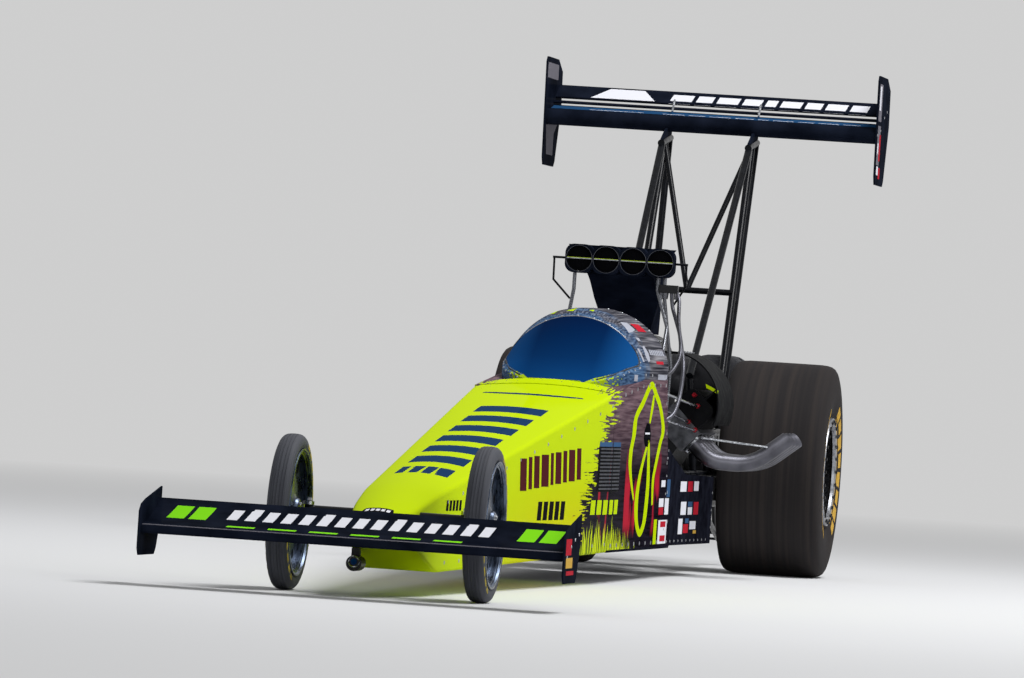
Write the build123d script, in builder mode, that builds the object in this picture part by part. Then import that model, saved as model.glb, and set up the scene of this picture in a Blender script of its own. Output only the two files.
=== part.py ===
"""A rail dragster, built in millimetres.

X is the car's left, Y is rearward and Z is up, with the ground at Z = 0. A station is a place
along the car, measured rearward from the rear axle, so the cockpit, engine and tail keep their
places when the wheelbase changes, and the nose shell fills the rest.
"""

import os
from math import cos, radians, sin, sqrt

from build123d import *

os.makedirs("parts", exist_ok=True)

# Driving dimensions
wheelbase = 7620
front_overhang = 762
tail_overhang = 1360
front_track = 708
rear_track = 1040
front_rim_diameter = 456
front_sidewall = 51.5
front_tyre_width = 80
front_tread_width = 48
rear_rim_diameter = 430
rear_sidewall = 260
rear_tyre_width = 470
rear_tread_width = 444
fit_gap = 0.3
running_gap = 6.0

rear_axle_y = (front_overhang + wheelbase + tail_overhang) / 2 - tail_overhang
front_axle = -wheelbase
front_hub_z = front_rim_diameter / 2 + front_sidewall
rear_hub_z = rear_rim_diameter / 2 + rear_sidewall


def place(x, station, z):
    """A place on the car, given by its X, its station and its height."""
    return Vector(x, rear_axle_y + station, z)


def across(station):
    """The upright plane square to the car: its x is X and its y is height. It faces forward."""
    return Plane(place(0, station, 0), x_dir=(1, 0, 0), z_dir=(0, -1, 0))


def along(x, start=0):
    """The upright plane along the car: its x is the distance behind a station and its y is height."""
    return Plane(place(x, start, 0), x_dir=(0, 1, 0), z_dir=(1, 0, 0))


def above(z):
    """The level plane at a height: its x is X and its y is the station."""
    return Plane(place(0, 0, z), x_dir=(1, 0, 0), z_dir=(0, 0, 1))


def tube(start, end, diameter):
    """Adds a round bar between two places."""
    run = end - start
    with BuildSketch(Plane(start, z_dir=run)) as profile:
        Circle(diameter / 2)
    extrude(profile.sketch, amount=run.length)


def bent_tube(places, diameter):
    """Adds a round bar through places, mitred at each bend."""
    with BuildLine() as path:
        Polyline(*places)
    with BuildSketch(Plane(places[0], z_dir=places[1] - places[0])) as profile:
        Circle(diameter / 2)
    sweep(profile.sketch, path=path.wire(), transition=Transition.RIGHT)


def plate(plane, outline, thickness, mode=Mode.ADD):
    """Adds a flat plate of straight edges, centred on its plane."""
    with BuildSketch(plane) as face:
        with BuildLine():
            Polyline(*outline, close=True)
        make_face()
    extrude(face.sketch, amount=thickness / 2, both=True, mode=mode)


def disc(x, station, z, radius, width, mode=Mode.ADD):
    """Adds a round disc that turns about X, centred on a place."""
    with BuildSketch(along(x)) as face:
        with Locations((station, z)):
            Circle(radius)
    extrude(face.sketch, amount=width / 2, both=True, mode=mode)


def wheel_ring(x, hub_z, station, profile):
    """Adds a ring turned about X from a closed profile of places (from the centre line, radius)."""
    plane = Plane(place(x, station, hub_z), x_dir=(1, 0, 0), z_dir=(0, -1, 0))
    with BuildSketch(plane) as section:
        with BuildLine():
            Polyline(*profile, close=True)
        make_face()
    revolve(section.sketch, axis=Axis(place(x, station, hub_z), (1, 0, 0)))


def symmetric(half_profile):
    """A closed profile from its half on the car's outer side, by mirroring it."""
    return [(-x, radius) for x, radius in half_profile] + list(reversed(half_profile))


# Nose shell. Its sections are (station, half width, bottom, shoulder, crown).
nose_rear = -3870
belly_bottom = 130
nose_sections = [
    (front_axle - 340, 85, 215, 262, 285),
    (front_axle, 122, 165, 325, 350),
    (front_axle + 300, 140, 88, 372, 400),
    (nose_rear, 288, belly_bottom, 768, 790),
]
nose_corner = 25
axle_beam_diameter = 57
tie_rod_diameter = 19
steering_arm = 110
rod_station = front_axle + steering_arm
kingpin_x = 283
kingpin_diameter = 16
eye_diameter = 34
eye_height = 60
ear_height = 12
ear_gap = 0.5
arm_thickness = 12
rod_eye_height = 20
arm_z = front_hub_z - eye_height / 2 - ear_gap - ear_height / 2
rod_z = arm_z + arm_thickness / 2 + ear_gap + rod_eye_height / 2
tie_rod_slot = (40, 34)

with BuildPart() as nose_shell:
    sections = []
    for station, half, bottom, shoulder, crown in nose_sections:
        with BuildSketch(across(station)) as section:
            with BuildLine():
                Polyline((-half, shoulder), (-half, bottom), (half, bottom), (half, shoulder))
                ThreePointArc((half, shoulder), (0, crown), (-half, shoulder))
            make_face()
            fillet(section.vertices().group_by(Axis.Y)[0], nose_corner)
        sections.append(section.sketch)
    loft(sections, ruled=True)
    disc(0, front_axle, front_hub_z, axle_beam_diameter / 2 + fit_gap, 600, Mode.SUBTRACT)
    with Locations(place(0, rod_station, rod_z)):
        Box(600, *tie_rod_slot, mode=Mode.SUBTRACT)
nose_shell.part.label = "nose_shell"
export_step(nose_shell.part, "parts/nose_shell.step")

# Cockpit tub: deck around the opening, side panels, belly pan and firewall.
wall = 10
tub_rear = -2020
tub_front_half = 288
tub_rear_half = 300
belly_top = belly_bottom + wall
canopy_rear = -2370
sill = [(nose_rear, 768), (-3020, 832), (canopy_rear, 836)]
deck_rear = sill[-1][0]
opening_half = 255
opening_front = -3580
opening_rear = -2395
opening_bend = -3290
nose_share = 0.45
bend_radius = 220
front_radius = 130
hinge_x = 70
hinge_station = -3680
hinge_z = 800
hinge_eye = 9
hinge_pin = 10
hinge_lug = 16
hinge_ear = 6
hinge_ear_outline = [
    (hinge_station - 18, 775),
    (hinge_station + 18, 777),
    (hinge_station + 10, hinge_z + hinge_eye),
    (hinge_station - 10, hinge_z + hinge_eye),
]


def tub_half(station):
    """The tub's half width outside at a station."""
    share = (station - nose_rear) / (tub_rear - nose_rear)
    return tub_front_half + share * (tub_rear_half - tub_front_half)


def tub_plan(front, rear, inset=0):
    """The tub's outline seen from above, between two stations."""
    at_front, at_rear = tub_half(front) - inset, tub_half(rear) - inset
    return [(-at_front, front), (at_front, front), (at_rear, rear), (-at_rear, rear)]


def cockpit_shape(half, front, rear, z):
    """The cockpit's opening or cover seen from above, at a height: a rounded front, straight sides."""
    with BuildSketch(above(z)) as shape:
        with BuildLine():
            Polyline(
                (-half, rear),
                (-half, opening_bend),
                (-half * nose_share, front),
                (half * nose_share, front),
                (half, opening_bend),
                (half, rear),
                close=True,
            )
        make_face()
        fillet(shape.vertices().filter_by_position(Axis.Y, opening_bend - 1, opening_bend + 1), bend_radius)
        fillet(shape.vertices().group_by(Axis.Y)[0], front_radius)
    return shape.sketch


with BuildPart() as cockpit_deck:
    plate(along(0), sill + [(s, z - wall) for s, z in reversed(sill)], 700)
    with BuildSketch(above(700)) as tub_shape:
        with BuildLine():
            Polyline(*tub_plan(nose_rear, deck_rear), close=True)
        make_face()
    extrude(tub_shape.sketch, amount=200, mode=Mode.INTERSECT)
    extrude(cockpit_shape(opening_half, opening_front, opening_rear, 700), amount=200, mode=Mode.SUBTRACT)
    for x in (-hinge_x, hinge_x):
        for side in (-1, 1):
            ear_x = x + side * (hinge_lug / 2 + fit_gap + hinge_ear / 2)
            plate(along(ear_x), hinge_ear_outline, hinge_ear)
        disc(x, hinge_station, hinge_z, hinge_pin / 2, hinge_lug + 2 * hinge_ear + 2 * fit_gap)
cockpit_deck.part.label = "cockpit_deck"
export_step(cockpit_deck.part, "parts/cockpit_deck.step")

for name, side in (("left_side_panel", 1), ("right_side_panel", -1)):
    with BuildPart() as panel:
        under_deck = [(s, z - wall) for s, z in reversed(sill)]
        plate(along(side * 300), [(nose_rear, belly_top), (tub_rear, belly_top)] + under_deck, 100)
        with BuildSketch(above(0)) as strip:
            with BuildLine():
                Polyline(
                    (side * tub_half(nose_rear), nose_rear),
                    (side * tub_half(tub_rear), tub_rear),
                    (side * (tub_half(tub_rear) - wall), tub_rear),
                    (side * (tub_half(nose_rear) - wall), nose_rear),
                    close=True,
                )
            make_face()
        extrude(strip.sketch, amount=1000, mode=Mode.INTERSECT)
    panel.part.label = name
    export_step(panel.part, f"parts/{name}.step")

with BuildPart() as belly_pan:
    plate(above((belly_bottom + belly_top) / 2), tub_plan(nose_rear, tub_rear), wall)
belly_pan.part.label = "belly_pan"
export_step(belly_pan.part, "parts/belly_pan.step")

# Canopy. Its sections are (station, half width, spring, top); inside, each is thinner by the shell.
canopy_shell_wall = 10
canopy_sections = [
    (-3620, 95, 795, 808),
    (-3420, 245, 840, 918),
    (-3170, 287, 870, 1045),
    (-2920, 292, 895, 1112),
    (canopy_rear, 297, 906, 1120),
]
canopy_base = 700
window_outline = [(-3720, 790), (-3520, 835), (-3290, 900), (-3095, 945), (-3095, 1200), (-3720, 1200)]
window_gap = 1.0
window_corner = 60


def arch(station, half, spring, top):
    """A canopy section: upright sides that spring into one arc, open below."""
    with BuildSketch(across(station)) as section:
        with BuildLine():
            Polyline((-half, spring), (-half, canopy_base), (half, canopy_base), (half, spring))
            ThreePointArc((half, spring), (0, top), (-half, spring))
        make_face()
    return section.sketch


def window_region(inset, mode):
    """Keeps or cuts the part of the canopy inside the windscreen's outline, seen from the side."""
    with BuildSketch(along(0)) as outline:
        with BuildLine():
            Polyline(*window_outline, close=True)
        make_face()
        corner = outline.vertices().sort_by(Axis.X)[-2:].sort_by(Axis.Y)[0]
        fillet(corner, window_corner)
        if inset:
            offset(amount=-inset)
    extrude(outline.sketch, amount=400, both=True, mode=mode)


def canopy_form():
    """Adds the whole canopy as one shell that rests on the sill."""
    wall_in = canopy_shell_wall
    loft([arch(*row) for row in canopy_sections], ruled=True)
    inner = [(s, half - wall_in, spring, top - wall_in) for s, half, spring, top in canopy_sections[1:-1]]
    s, half, spring, top = canopy_sections[0]
    first = (s + 2 * wall_in, half - wall_in, spring, top)
    s, half, spring, top = canopy_sections[-1]
    last = (s + wall_in, half - wall_in, spring, top - wall_in)
    loft([arch(*row) for row in [first, *inner, last]], ruled=True, mode=Mode.SUBTRACT)
    below = [(-3920, 500), (-3920, sill[0][1] - 4), *sill[1:], (-2220, sill[-1][1]), (-2220, 500)]
    plate(along(0), [(s, z + fit_gap) for s, z in below], 800, Mode.SUBTRACT)


with BuildPart() as canopy_shell:
    canopy_form()
    window_region(0, Mode.SUBTRACT)
    for x in (-hinge_x, hinge_x):
        lug = [
            (hinge_station - 14, hinge_z),
            (hinge_station + 6, hinge_z - hinge_eye),
            (canopy_sections[0][0] + 6, 797),
            (canopy_sections[0][0] + 6, 806),
            (hinge_station + 6, hinge_z + hinge_eye),
        ]
        plate(along(x), lug, hinge_lug)
        disc(x, hinge_station, hinge_z, hinge_pin / 2 + fit_gap, hinge_lug + 2, Mode.SUBTRACT)
canopy_shell.part.label = "canopy_shell"
export_step(canopy_shell.part, "parts/canopy_shell.step")

with BuildPart() as windscreen:
    canopy_form()
    window_region(window_gap, Mode.INTERSECT)
windscreen.part.label = "windscreen"
export_step(windscreen.part, "parts/windscreen.step")

# Frame of round tubes. Each run is (X, station, z) places, made on both sides where X isn't 0.
frame_tube = 38
post_tube = 32
rail_bottom_z = belly_top + frame_tube / 2 + fit_gap
rail_x = 225
bay_x = 215
bay_front = -1920
bay_rear = -140
cockpit_rail_z = 765
rail_top_z = 430
rail_hole_gap = 0.8
bay_post_top = rear_hub_z + 145
frame_runs = [
    [
        (rail_x, nose_rear + 1, rail_bottom_z),
        (rail_x, -2120, rail_bottom_z),
        (bay_x, bay_front, rail_bottom_z),
        (bay_x, bay_rear, rail_bottom_z),
    ],
    [
        (rail_x, nose_rear + 2, 700),
        (rail_x, -3020, cockpit_rail_z),
        (rail_x, -2320, cockpit_rail_z),
        (bay_x, bay_front, rail_top_z),
        (bay_x, bay_rear, rail_top_z),
    ],
]
frame_posts = [
    [(rail_x, -3270, rail_bottom_z), (rail_x, -3270, 742)],
    [(rail_x, -2670, rail_bottom_z), (rail_x, -2670, 762)],
    [(bay_x, bay_front, rail_bottom_z), (bay_x, bay_front, rail_top_z)],
    [(bay_x, -1020, rail_bottom_z), (bay_x, -1020, rail_top_z)],
    [(bay_x, bay_rear, rail_bottom_z), (bay_x, bay_rear, bay_post_top)],
    [(bay_x, bay_front, rail_bottom_z), (bay_x, -1020, rail_top_z)],
    [(bay_x, bay_rear, rail_bottom_z), (bay_x, -1020, rail_top_z)],
]
tail_low_z = rear_hub_z - 175
tail_bend = 140
tail_end = (175, 440, rear_hub_z + 85)
wing_post_top = (172, -660, 850)
rear_posts = [
    [(bay_x, bay_rear, bay_post_top), (bay_x, tail_bend, bay_post_top), tail_end],
    [(bay_x, bay_rear, tail_low_z), (bay_x, tail_bend, tail_low_z), tail_end],
    [(bay_x, wing_post_top[1], rail_top_z), wing_post_top],
    [(174, wing_post_top[1], 800), (bay_x, bay_rear, bay_post_top)],
]
frame_cross = [
    (-2120, rail_x, rail_bottom_z),
    (bay_rear, bay_x, rail_bottom_z),
    (bay_rear, bay_x, bay_post_top),
    (tail_bend, bay_x, tail_low_z),
    (tail_end[1], tail_end[0], tail_end[2]),
]
cage = [
    [(rail_x, -2440, cockpit_rail_z), (rail_x - 10, -2440, 860), (130, -2440, 1030), (0, -2440, 1030)],
    [(rail_x, -2820, cockpit_rail_z), (rail_x - 15, -2820, 860), (130, -2820, 1020), (0, -2820, 1020)],
    [(130, -2820, 1020), (130, -2440, 1030)],
]

firewall_station = canopy_rear + running_gap + wall / 2
with BuildPart() as firewall:
    half = tub_half(firewall_station) - wall - fit_gap
    spring, top = canopy_sections[-1][2:]
    with BuildSketch(across(firewall_station)) as face:
        with BuildLine():
            Polyline((-half, spring), (-half, belly_top), (half, belly_top), (half, spring))
            ThreePointArc((half, spring), (0, top), (-half, spring))
        make_face()
    extrude(face.sketch, amount=wall / 2, both=True)
    for x in (-rail_x, rail_x):
        for z in (rail_bottom_z, cockpit_rail_z):
            with BuildSketch(across(firewall_station)) as hole:
                with Locations((x, z)):
                    Circle(frame_tube / 2 + rail_hole_gap)
            extrude(hole.sketch, amount=wall, both=True, mode=Mode.SUBTRACT)
firewall.part.label = "firewall"
export_step(firewall.part, "parts/firewall.step")

with BuildPart() as chassis_frame:
    for runs, diameter in ((frame_runs + cage, frame_tube), (frame_posts + rear_posts, post_tube)):
        for run in runs:
            for side in (-1, 1):
                bent_tube([place(side * x, station, z) for x, station, z in run], diameter)
    for station, x, z in frame_cross:
        tube(place(-x, station, z), place(x, station, z), post_tube)
chassis_frame.part.label = "chassis_frame"
export_step(chassis_frame.part, "parts/chassis_frame.step")

# Front axle. Each knuckle turns on a kingpin in the eye at the end of the beam.
spindle_diameter = 25
hub_half = 42
front_hub_diameter = 66
beam_end = 17

with BuildPart() as front_axle_beam:
    tube(
        place(-kingpin_x + 4, front_axle, front_hub_z),
        place(kingpin_x - 4, front_axle, front_hub_z),
        axle_beam_diameter,
    )
    for x in (-kingpin_x, kingpin_x):
        with Locations(place(x, front_axle, front_hub_z)):
            Cylinder(eye_diameter / 2, eye_height)
    for x in (-kingpin_x, kingpin_x):
        with Locations(place(x, front_axle, front_hub_z)):
            Cylinder(kingpin_diameter / 2 + fit_gap, 2 * eye_height, mode=Mode.SUBTRACT)
        beyond_eye = x + (beam_end + 27 if x > 0 else -beam_end - 27)
        disc(beyond_eye, front_axle, front_hub_z, 60, 54, Mode.SUBTRACT)
front_axle_beam.part.label = "front_axle_beam"
export_step(front_axle_beam.part, "parts/front_axle_beam.step")

rod_eye_diameter = 30
rod_pin_diameter = 10
spindle_end = front_track / 2 + hub_half + 14

for name, side in (("left_knuckle", 1), ("right_knuckle", -1)):
    with BuildPart() as knuckle:
        pin = place(side * kingpin_x, front_axle, front_hub_z)
        for up in (-1, 1):
            z = front_hub_z + up * (eye_height / 2 + ear_gap + ear_height / 2)
            with Locations((pin.X, pin.Y, z)):
                Cylinder(eye_diameter / 2, ear_height)
                with Locations((side * 14, 0, 0)):
                    Box(16, 26, ear_height)
        with Locations((pin.X, pin.Y, front_hub_z)):
            Cylinder(kingpin_diameter / 2, eye_height + 2 * ear_gap + 2 * ear_height)
        with Locations((pin.X + side * 21.5, pin.Y, front_hub_z)):
            Box(5, 30, eye_height + 2 * ear_gap + 2 * ear_height)
        tube(
            place(side * (kingpin_x + 20), front_axle, front_hub_z),
            place(side * spindle_end, front_axle, front_hub_z),
            spindle_diameter,
        )
        with Locations(place(side * kingpin_x, front_axle + steering_arm / 2 + 4, arm_z)):
            Box(18, steering_arm - 4, arm_thickness)
        with Locations(place(side * kingpin_x, rod_station, arm_z)):
            Cylinder(12, arm_thickness)
        with Locations(place(side * kingpin_x, rod_station, rod_z)):
            Cylinder(rod_pin_diameter / 2, rod_eye_height + 14)
    knuckle.part.label = name
    export_step(knuckle.part, f"parts/{name}.step")

with BuildPart() as tie_rod:
    rod_reach = kingpin_x - 6
    tube(place(-rod_reach, rod_station, rod_z), place(rod_reach, rod_station, rod_z), tie_rod_diameter)
    for x in (-kingpin_x, kingpin_x):
        with Locations(place(x, rod_station, rod_z)):
            Cylinder(rod_eye_diameter / 2, rod_eye_height)
    for x, gap in ((-kingpin_x, 2 * fit_gap), (kingpin_x, fit_gap)):
        with Locations(place(x, rod_station, rod_z)):
            Cylinder(rod_pin_diameter / 2 + gap, 2 * rod_eye_height, mode=Mode.SUBTRACT)
tie_rod.part.label = "tie_rod"
export_step(tie_rod.part, "parts/tie_rod.step")

# Wheels. Half profiles go from the bore outwards, as (from the centre line, radius).
front_rim_half = 34
front_web_half = 8
front_rim_wall = 9
front_tyre_profile = [
    (front_rim_half, front_rim_diameter / 2),
    (front_tyre_width / 2, front_rim_diameter / 2 + 30),
    (front_tread_width / 2, front_hub_z),
]
front_rim_profile = [
    (hub_half, spindle_diameter / 2 + fit_gap),
    (hub_half, front_hub_diameter / 2),
    (front_web_half, front_hub_diameter / 2 + 8),
    (front_web_half, front_rim_diameter / 2 - front_rim_wall),
    (front_rim_half, front_rim_diameter / 2 - front_rim_wall),
    (front_rim_half, front_rim_diameter / 2),
]
for name, side in (("front_left", 1), ("front_right", -1)):
    with BuildPart() as rim:
        wheel_ring(side * front_track / 2, front_hub_z, front_axle, symmetric(front_rim_profile))
    rim.part.label = f"{name}_rim"
    export_step(rim.part, f"parts/{name}_rim.step")
    with BuildPart() as tyre:
        wheel_ring(side * front_track / 2, front_hub_z, front_axle, symmetric(front_tyre_profile))
    tyre.part.label = f"{name}_tyre"
    export_step(tyre.part, f"parts/{name}_tyre.step")

# Rear axle: one shaft, and on each end a wide rim and a slick that turn as one.
axle_shaft_diameter = 76
axle_end = rear_track / 2 + 60
rear_rim_half = 203
rear_rim_wall = 9
rear_web_inner = 20
rear_web_outer = 44
rear_hub_radius = 82
rear_tyre_profile = [
    (rear_rim_half, rear_rim_diameter / 2),
    (rear_tyre_width / 2, rear_rim_diameter / 2 + 135),
    (rear_tread_width / 2, rear_hub_z - 13),
    (rear_tread_width / 2 - 60, rear_hub_z),
]
rim_inside = rear_rim_diameter / 2 - rear_rim_wall
rear_rim_profile = [
    (-rear_rim_half, rear_rim_diameter / 2),
    (-rear_rim_half, rim_inside),
    (rear_web_inner, rim_inside),
    (rear_web_inner, axle_shaft_diameter / 2 + fit_gap),
    (rear_web_outer, axle_shaft_diameter / 2 + fit_gap),
    (rear_web_outer, rim_inside),
    (rear_rim_half, rim_inside),
    (rear_rim_half, rear_rim_diameter / 2),
]
with BuildPart() as rear_axle_shaft:
    tube(place(-axle_end, 0, rear_hub_z), place(axle_end, 0, rear_hub_z), axle_shaft_diameter)
    for side in (-1, 1):
        disc(side * (rear_track / 2 + rear_web_inner - 9), 0, rear_hub_z, rear_hub_radius, 18)
rear_axle_shaft.part.label = "rear_axle_shaft"
export_step(rear_axle_shaft.part, "parts/rear_axle_shaft.step")

with BuildPart() as rear_rims:
    for side in (-1, 1):
        profile = [(side * x, radius) for x, radius in rear_rim_profile]
        wheel_ring(side * rear_track / 2, rear_hub_z, 0, profile)
rear_rims.part.label = "rear_rims"
export_step(rear_rims.part, "parts/rear_rims.step")

with BuildPart() as rear_tyres:
    for side in (-1, 1):
        wheel_ring(side * rear_track / 2, rear_hub_z, 0, symmetric(rear_tyre_profile))
rear_tyres.part.label = "rear_tyres"
export_step(rear_tyres.part, "parts/rear_tyres.step")

# Rear end: a housing round the ring gear, a tube each side and a nose that takes the coupler.
crank_z = 400
ring_gear_radius = 165
ring_gear_half = 105
housing_tube_diameter = 110
housing_tube_end = 262
snout_station = -220
snout_diameter = 170
coupler_diameter = 110
coupler_front = -470
bracket_thickness = 12
bracket_x = bay_x - frame_tube / 2 - fit_gap - bracket_thickness / 2
bracket_outline = [
    (bay_rear - 16, rear_hub_z - 295),
    (30, rear_hub_z - 95),
    (60, rear_hub_z + 115),
    (bay_rear - 16, rear_hub_z + 115),
]
with BuildPart() as rear_end_housing:
    disc(0, 0, rear_hub_z, ring_gear_radius, 2 * ring_gear_half)
    tube(
        place(-housing_tube_end, 0, rear_hub_z),
        place(housing_tube_end, 0, rear_hub_z),
        housing_tube_diameter,
    )
    tube(place(0, snout_station, crank_z), place(0, -60, crank_z), snout_diameter)
    for side in (-1, 1):
        plate(along(side * bracket_x), bracket_outline, bracket_thickness)
    disc(0, 0, rear_hub_z, axle_shaft_diameter / 2 + 1, 700, Mode.SUBTRACT)
rear_end_housing.part.label = "rear_end_housing"
export_step(rear_end_housing.part, "parts/rear_end_housing.step")

# Cockpit fittings.
seat_half = 190
seat_wall = 8
seat_bottom = belly_top + 18
seat_side = [
    (-2900, 330),
    (-2920, seat_bottom),
    (-2540, seat_bottom),
    (-2405, 760),
    (-2470, 790),
    (-2640, 330),
]
with BuildPart() as seat:
    plate(along(0), seat_side, 2 * seat_half)
    floor = seat_bottom + seat_wall
    inside = [(-3020, 900), (-3020, floor), (-2547, floor), (-2413, 765), (-2413, 900)]
    plate(along(0), inside, 2 * (seat_half - seat_wall), Mode.SUBTRACT)
    for x in (-120, 120):
        for station in (-2820, -2620):
            with Locations(place(x, station, (belly_top + seat_bottom) / 2)):
                Box(30, 40, seat_bottom - belly_top)
seat.part.label = "seat"
export_step(seat.part, "parts/seat.step")

column_end = place(0, -3200, 620)
column_start = place(0, nose_rear + 1.2, 560)
with BuildPart() as steering_yoke:
    tube(column_start, column_end, 22)
    for side in (-1, 1):
        bent_tube([column_end, place(side * 110, -3200, 620), place(side * 150, -3220, 690)], 24)
steering_yoke.part.label = "steering_yoke"
export_step(steering_yoke.part, "parts/steering_yoke.step")

# Engine: block and pan, two banks at 45 degrees, intake, supercharger and injector hat.
engine_front = -1610
engine_length = 570
engine_rear = engine_front + engine_length
deck_height = 290
deck_half = 75
head_height = 115
cover_height = 110
pan_half = 130
pan_bottom = 140
bank_x = Vector(cos(radians(45)), 0, -sin(radians(45)))


def bank_plane(station):
    """The upright plane whose y runs up the left bank and whose x runs outwards and down."""
    return Plane(place(0, station, crank_z), x_dir=bank_x, z_dir=(0, -1, 0))


def bank_place(up, out):
    """The (X, z) of a place this far up the left bank from the crank, and this far outwards across it."""
    return (up + out) * cos(radians(45)), crank_z + (up - out) * sin(radians(45))


def box_between(x, front, rear, low, high):
    """Adds a block centred on X = 0 with this half width, between stations and heights."""
    with Locations(place(0, (front + rear) / 2, (low + high) / 2)):
        Box(2 * x, rear - front, high - low)


valley_z = bank_place(deck_height, -deck_half)[1]
block_half = [(140, 290), (165, crank_z)]
block_half += [bank_place(deck_height, deck_half), bank_place(deck_height, -deck_half)]
with BuildPart() as engine_block:
    plate(across((engine_front + engine_rear) / 2), symmetric(block_half), engine_length)
    box_between(pan_half, engine_front, engine_rear, pan_bottom, 290)
    fillet(engine_block.edges().filter_by(Axis.Y).group_by(Axis.Z)[0], 30)
engine_block.part.label = "engine_block"
export_step(engine_block.part, "parts/engine_block.step")

with BuildPart() as cylinder_heads:
    with BuildSketch(bank_plane(engine_front + 8)) as head:
        with Locations((8, deck_height + fit_gap + head_height / 2)):
            Rectangle(172, head_height)
    extrude(head.sketch, amount=-(engine_length - 16))
    mirror(about=Plane.YZ)
cylinder_heads.part.label = "cylinder_heads"
export_step(cylinder_heads.part, "parts/cylinder_heads.step")

# Over each cover a curved guard stands on a web along the cover's middle.
guard_centre = (-99, 382)
guard_radius = 220
guard_wall = 6
web_foot = deck_height + head_height + cover_height - 5
web_top = guard_centre[1] + sqrt(guard_radius**2 - guard_centre[0] ** 2)
with BuildPart() as valve_covers:
    with BuildSketch(bank_plane(engine_front + 14)) as cover:
        with Locations((-4, deck_height + head_height + 2 * fit_gap + cover_height / 2)):
            Rectangle(150, cover_height)
        fillet(cover.vertices().group_by(Axis.Y)[-1], 36)
    extrude(cover.sketch, amount=-(engine_length - 28))
    with BuildSketch(bank_plane(engine_front + 14)) as guard:
        with BuildLine():
            CenterArc(guard_centre, guard_radius, 23, 124)
        trace(line_width=guard_wall)
        with Locations((0, (web_foot + web_top) / 2)):
            Rectangle(guard_wall, web_top - web_foot)
    extrude(guard.sketch, amount=-(engine_length - 28))
    mirror(about=Plane.YZ)
valve_covers.part.label = "valve_covers"
export_step(valve_covers.part, "parts/valve_covers.step")

intake_top = 775
intake_half = [(100, valley_z), (165, 700), (165, intake_top)]
with BuildPart() as intake_manifold:
    plate(across((engine_front + engine_rear) / 2), symmetric(intake_half), engine_length - 40)
intake_manifold.part.label = "intake_manifold"
export_step(intake_manifold.part, "parts/intake_manifold.step")

blower_front = engine_front - 25
blower_rear = engine_rear - 20
blower_top = 1030
blower_half = 142
blower_shaft_z = 905
pulley_station = engine_front - 140
pulley_width = 78
pulley_radius = 84
with BuildPart() as supercharger:
    with BuildSketch(across(blower_front)) as case:
        with Locations((0, (intake_top + blower_top) / 2)):
            Rectangle(2 * blower_half, blower_top - intake_top)
        fillet(case.vertices().group_by(Axis.Y)[-1], 90)
    extrude(case.sketch, amount=-(blower_rear - blower_front))
    snout_front = pulley_station + pulley_width / 2 + fit_gap
    tube(place(0, snout_front, blower_shaft_z), place(0, blower_front, blower_shaft_z), 130)
supercharger.part.label = "supercharger"
export_step(supercharger.part, "parts/supercharger.step")

belt_thickness = 7
starter_bore = 28
starter_depth = 40
with BuildPart() as blower_drive:
    for z in (crank_z, blower_shaft_z):
        with BuildSketch(across(pulley_station)) as pulley:
            with Locations((0, z)):
                Circle(pulley_radius)
        extrude(pulley.sketch, amount=pulley_width / 2, both=True)
    tube(place(0, pulley_station, crank_z), place(0, engine_front - fit_gap, crank_z), 70)
    with BuildSketch(across(pulley_station)) as belt:
        with Locations((0, (crank_z + blower_shaft_z) / 2)):
            for radius, mode in ((pulley_radius + belt_thickness, Mode.ADD), (pulley_radius, Mode.SUBTRACT)):
                SlotCenterToCenter(blower_shaft_z - crank_z, 2 * radius, rotation=90, mode=mode)
    extrude(belt.sketch, amount=pulley_width / 2 - 3, both=True)
    with BuildSketch(across(pulley_station - pulley_width / 2)) as socket:
        with Locations((0, blower_shaft_z)):
            Circle(starter_bore / 2)
    extrude(socket.sketch, amount=-starter_depth, mode=Mode.SUBTRACT)
blower_drive.part.label = "blower_drive"
export_step(blower_drive.part, "parts/blower_drive.step")

throat_pitch = 116
throat_radius = 54
throat_z = 1330
throat_front = -1920
throat_depth = 70
blade_station = throat_front + 32
throttle_shaft = 10
neck_half = 140
with BuildPart() as injector_hat:
    with BuildSketch(across(throat_front)) as bezel:
        with Locations([((i - 1.5) * throat_pitch, throat_z) for i in range(4)]):
            RectangleRounded(throat_pitch + 4, 2 * throat_radius + 14, 38)
    extrude(bezel.sketch, amount=-throat_depth)
    with BuildSketch(across(throat_front + throat_depth)) as mouth:
        with BuildLine():
            Polyline(*symmetric([(neck_half, throat_z - 60), (2 * throat_pitch, throat_z + 60)]), close=True)
        make_face()
    with BuildSketch(Plane(place(0, -1560, 1250), x_dir=(1, 0, 0), z_dir=(0, -1, 0.75))) as waist:
        Rectangle(2 * neck_half, 200)
    foot = place(0, blower_front + 265, blower_top + fit_gap)
    with BuildSketch(Plane(foot, x_dir=(1, 0, 0), z_dir=(0, 0, 1))) as base:
        Rectangle(190, 320)
    loft([mouth.sketch, waist.sketch, base.sketch], ruled=True)
    with BuildSketch(across(throat_front)) as throats:
        with Locations([((i - 1.5) * throat_pitch, throat_z) for i in range(4)]):
            Circle(throat_radius)
    extrude(throats.sketch, amount=-throat_depth, mode=Mode.SUBTRACT)
    disc(0, blade_station, throat_z, throttle_shaft / 2 + fit_gap, 600, Mode.SUBTRACT)
injector_hat.part.label = "injector_hat"
export_step(injector_hat.part, "parts/injector_hat.step")

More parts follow.
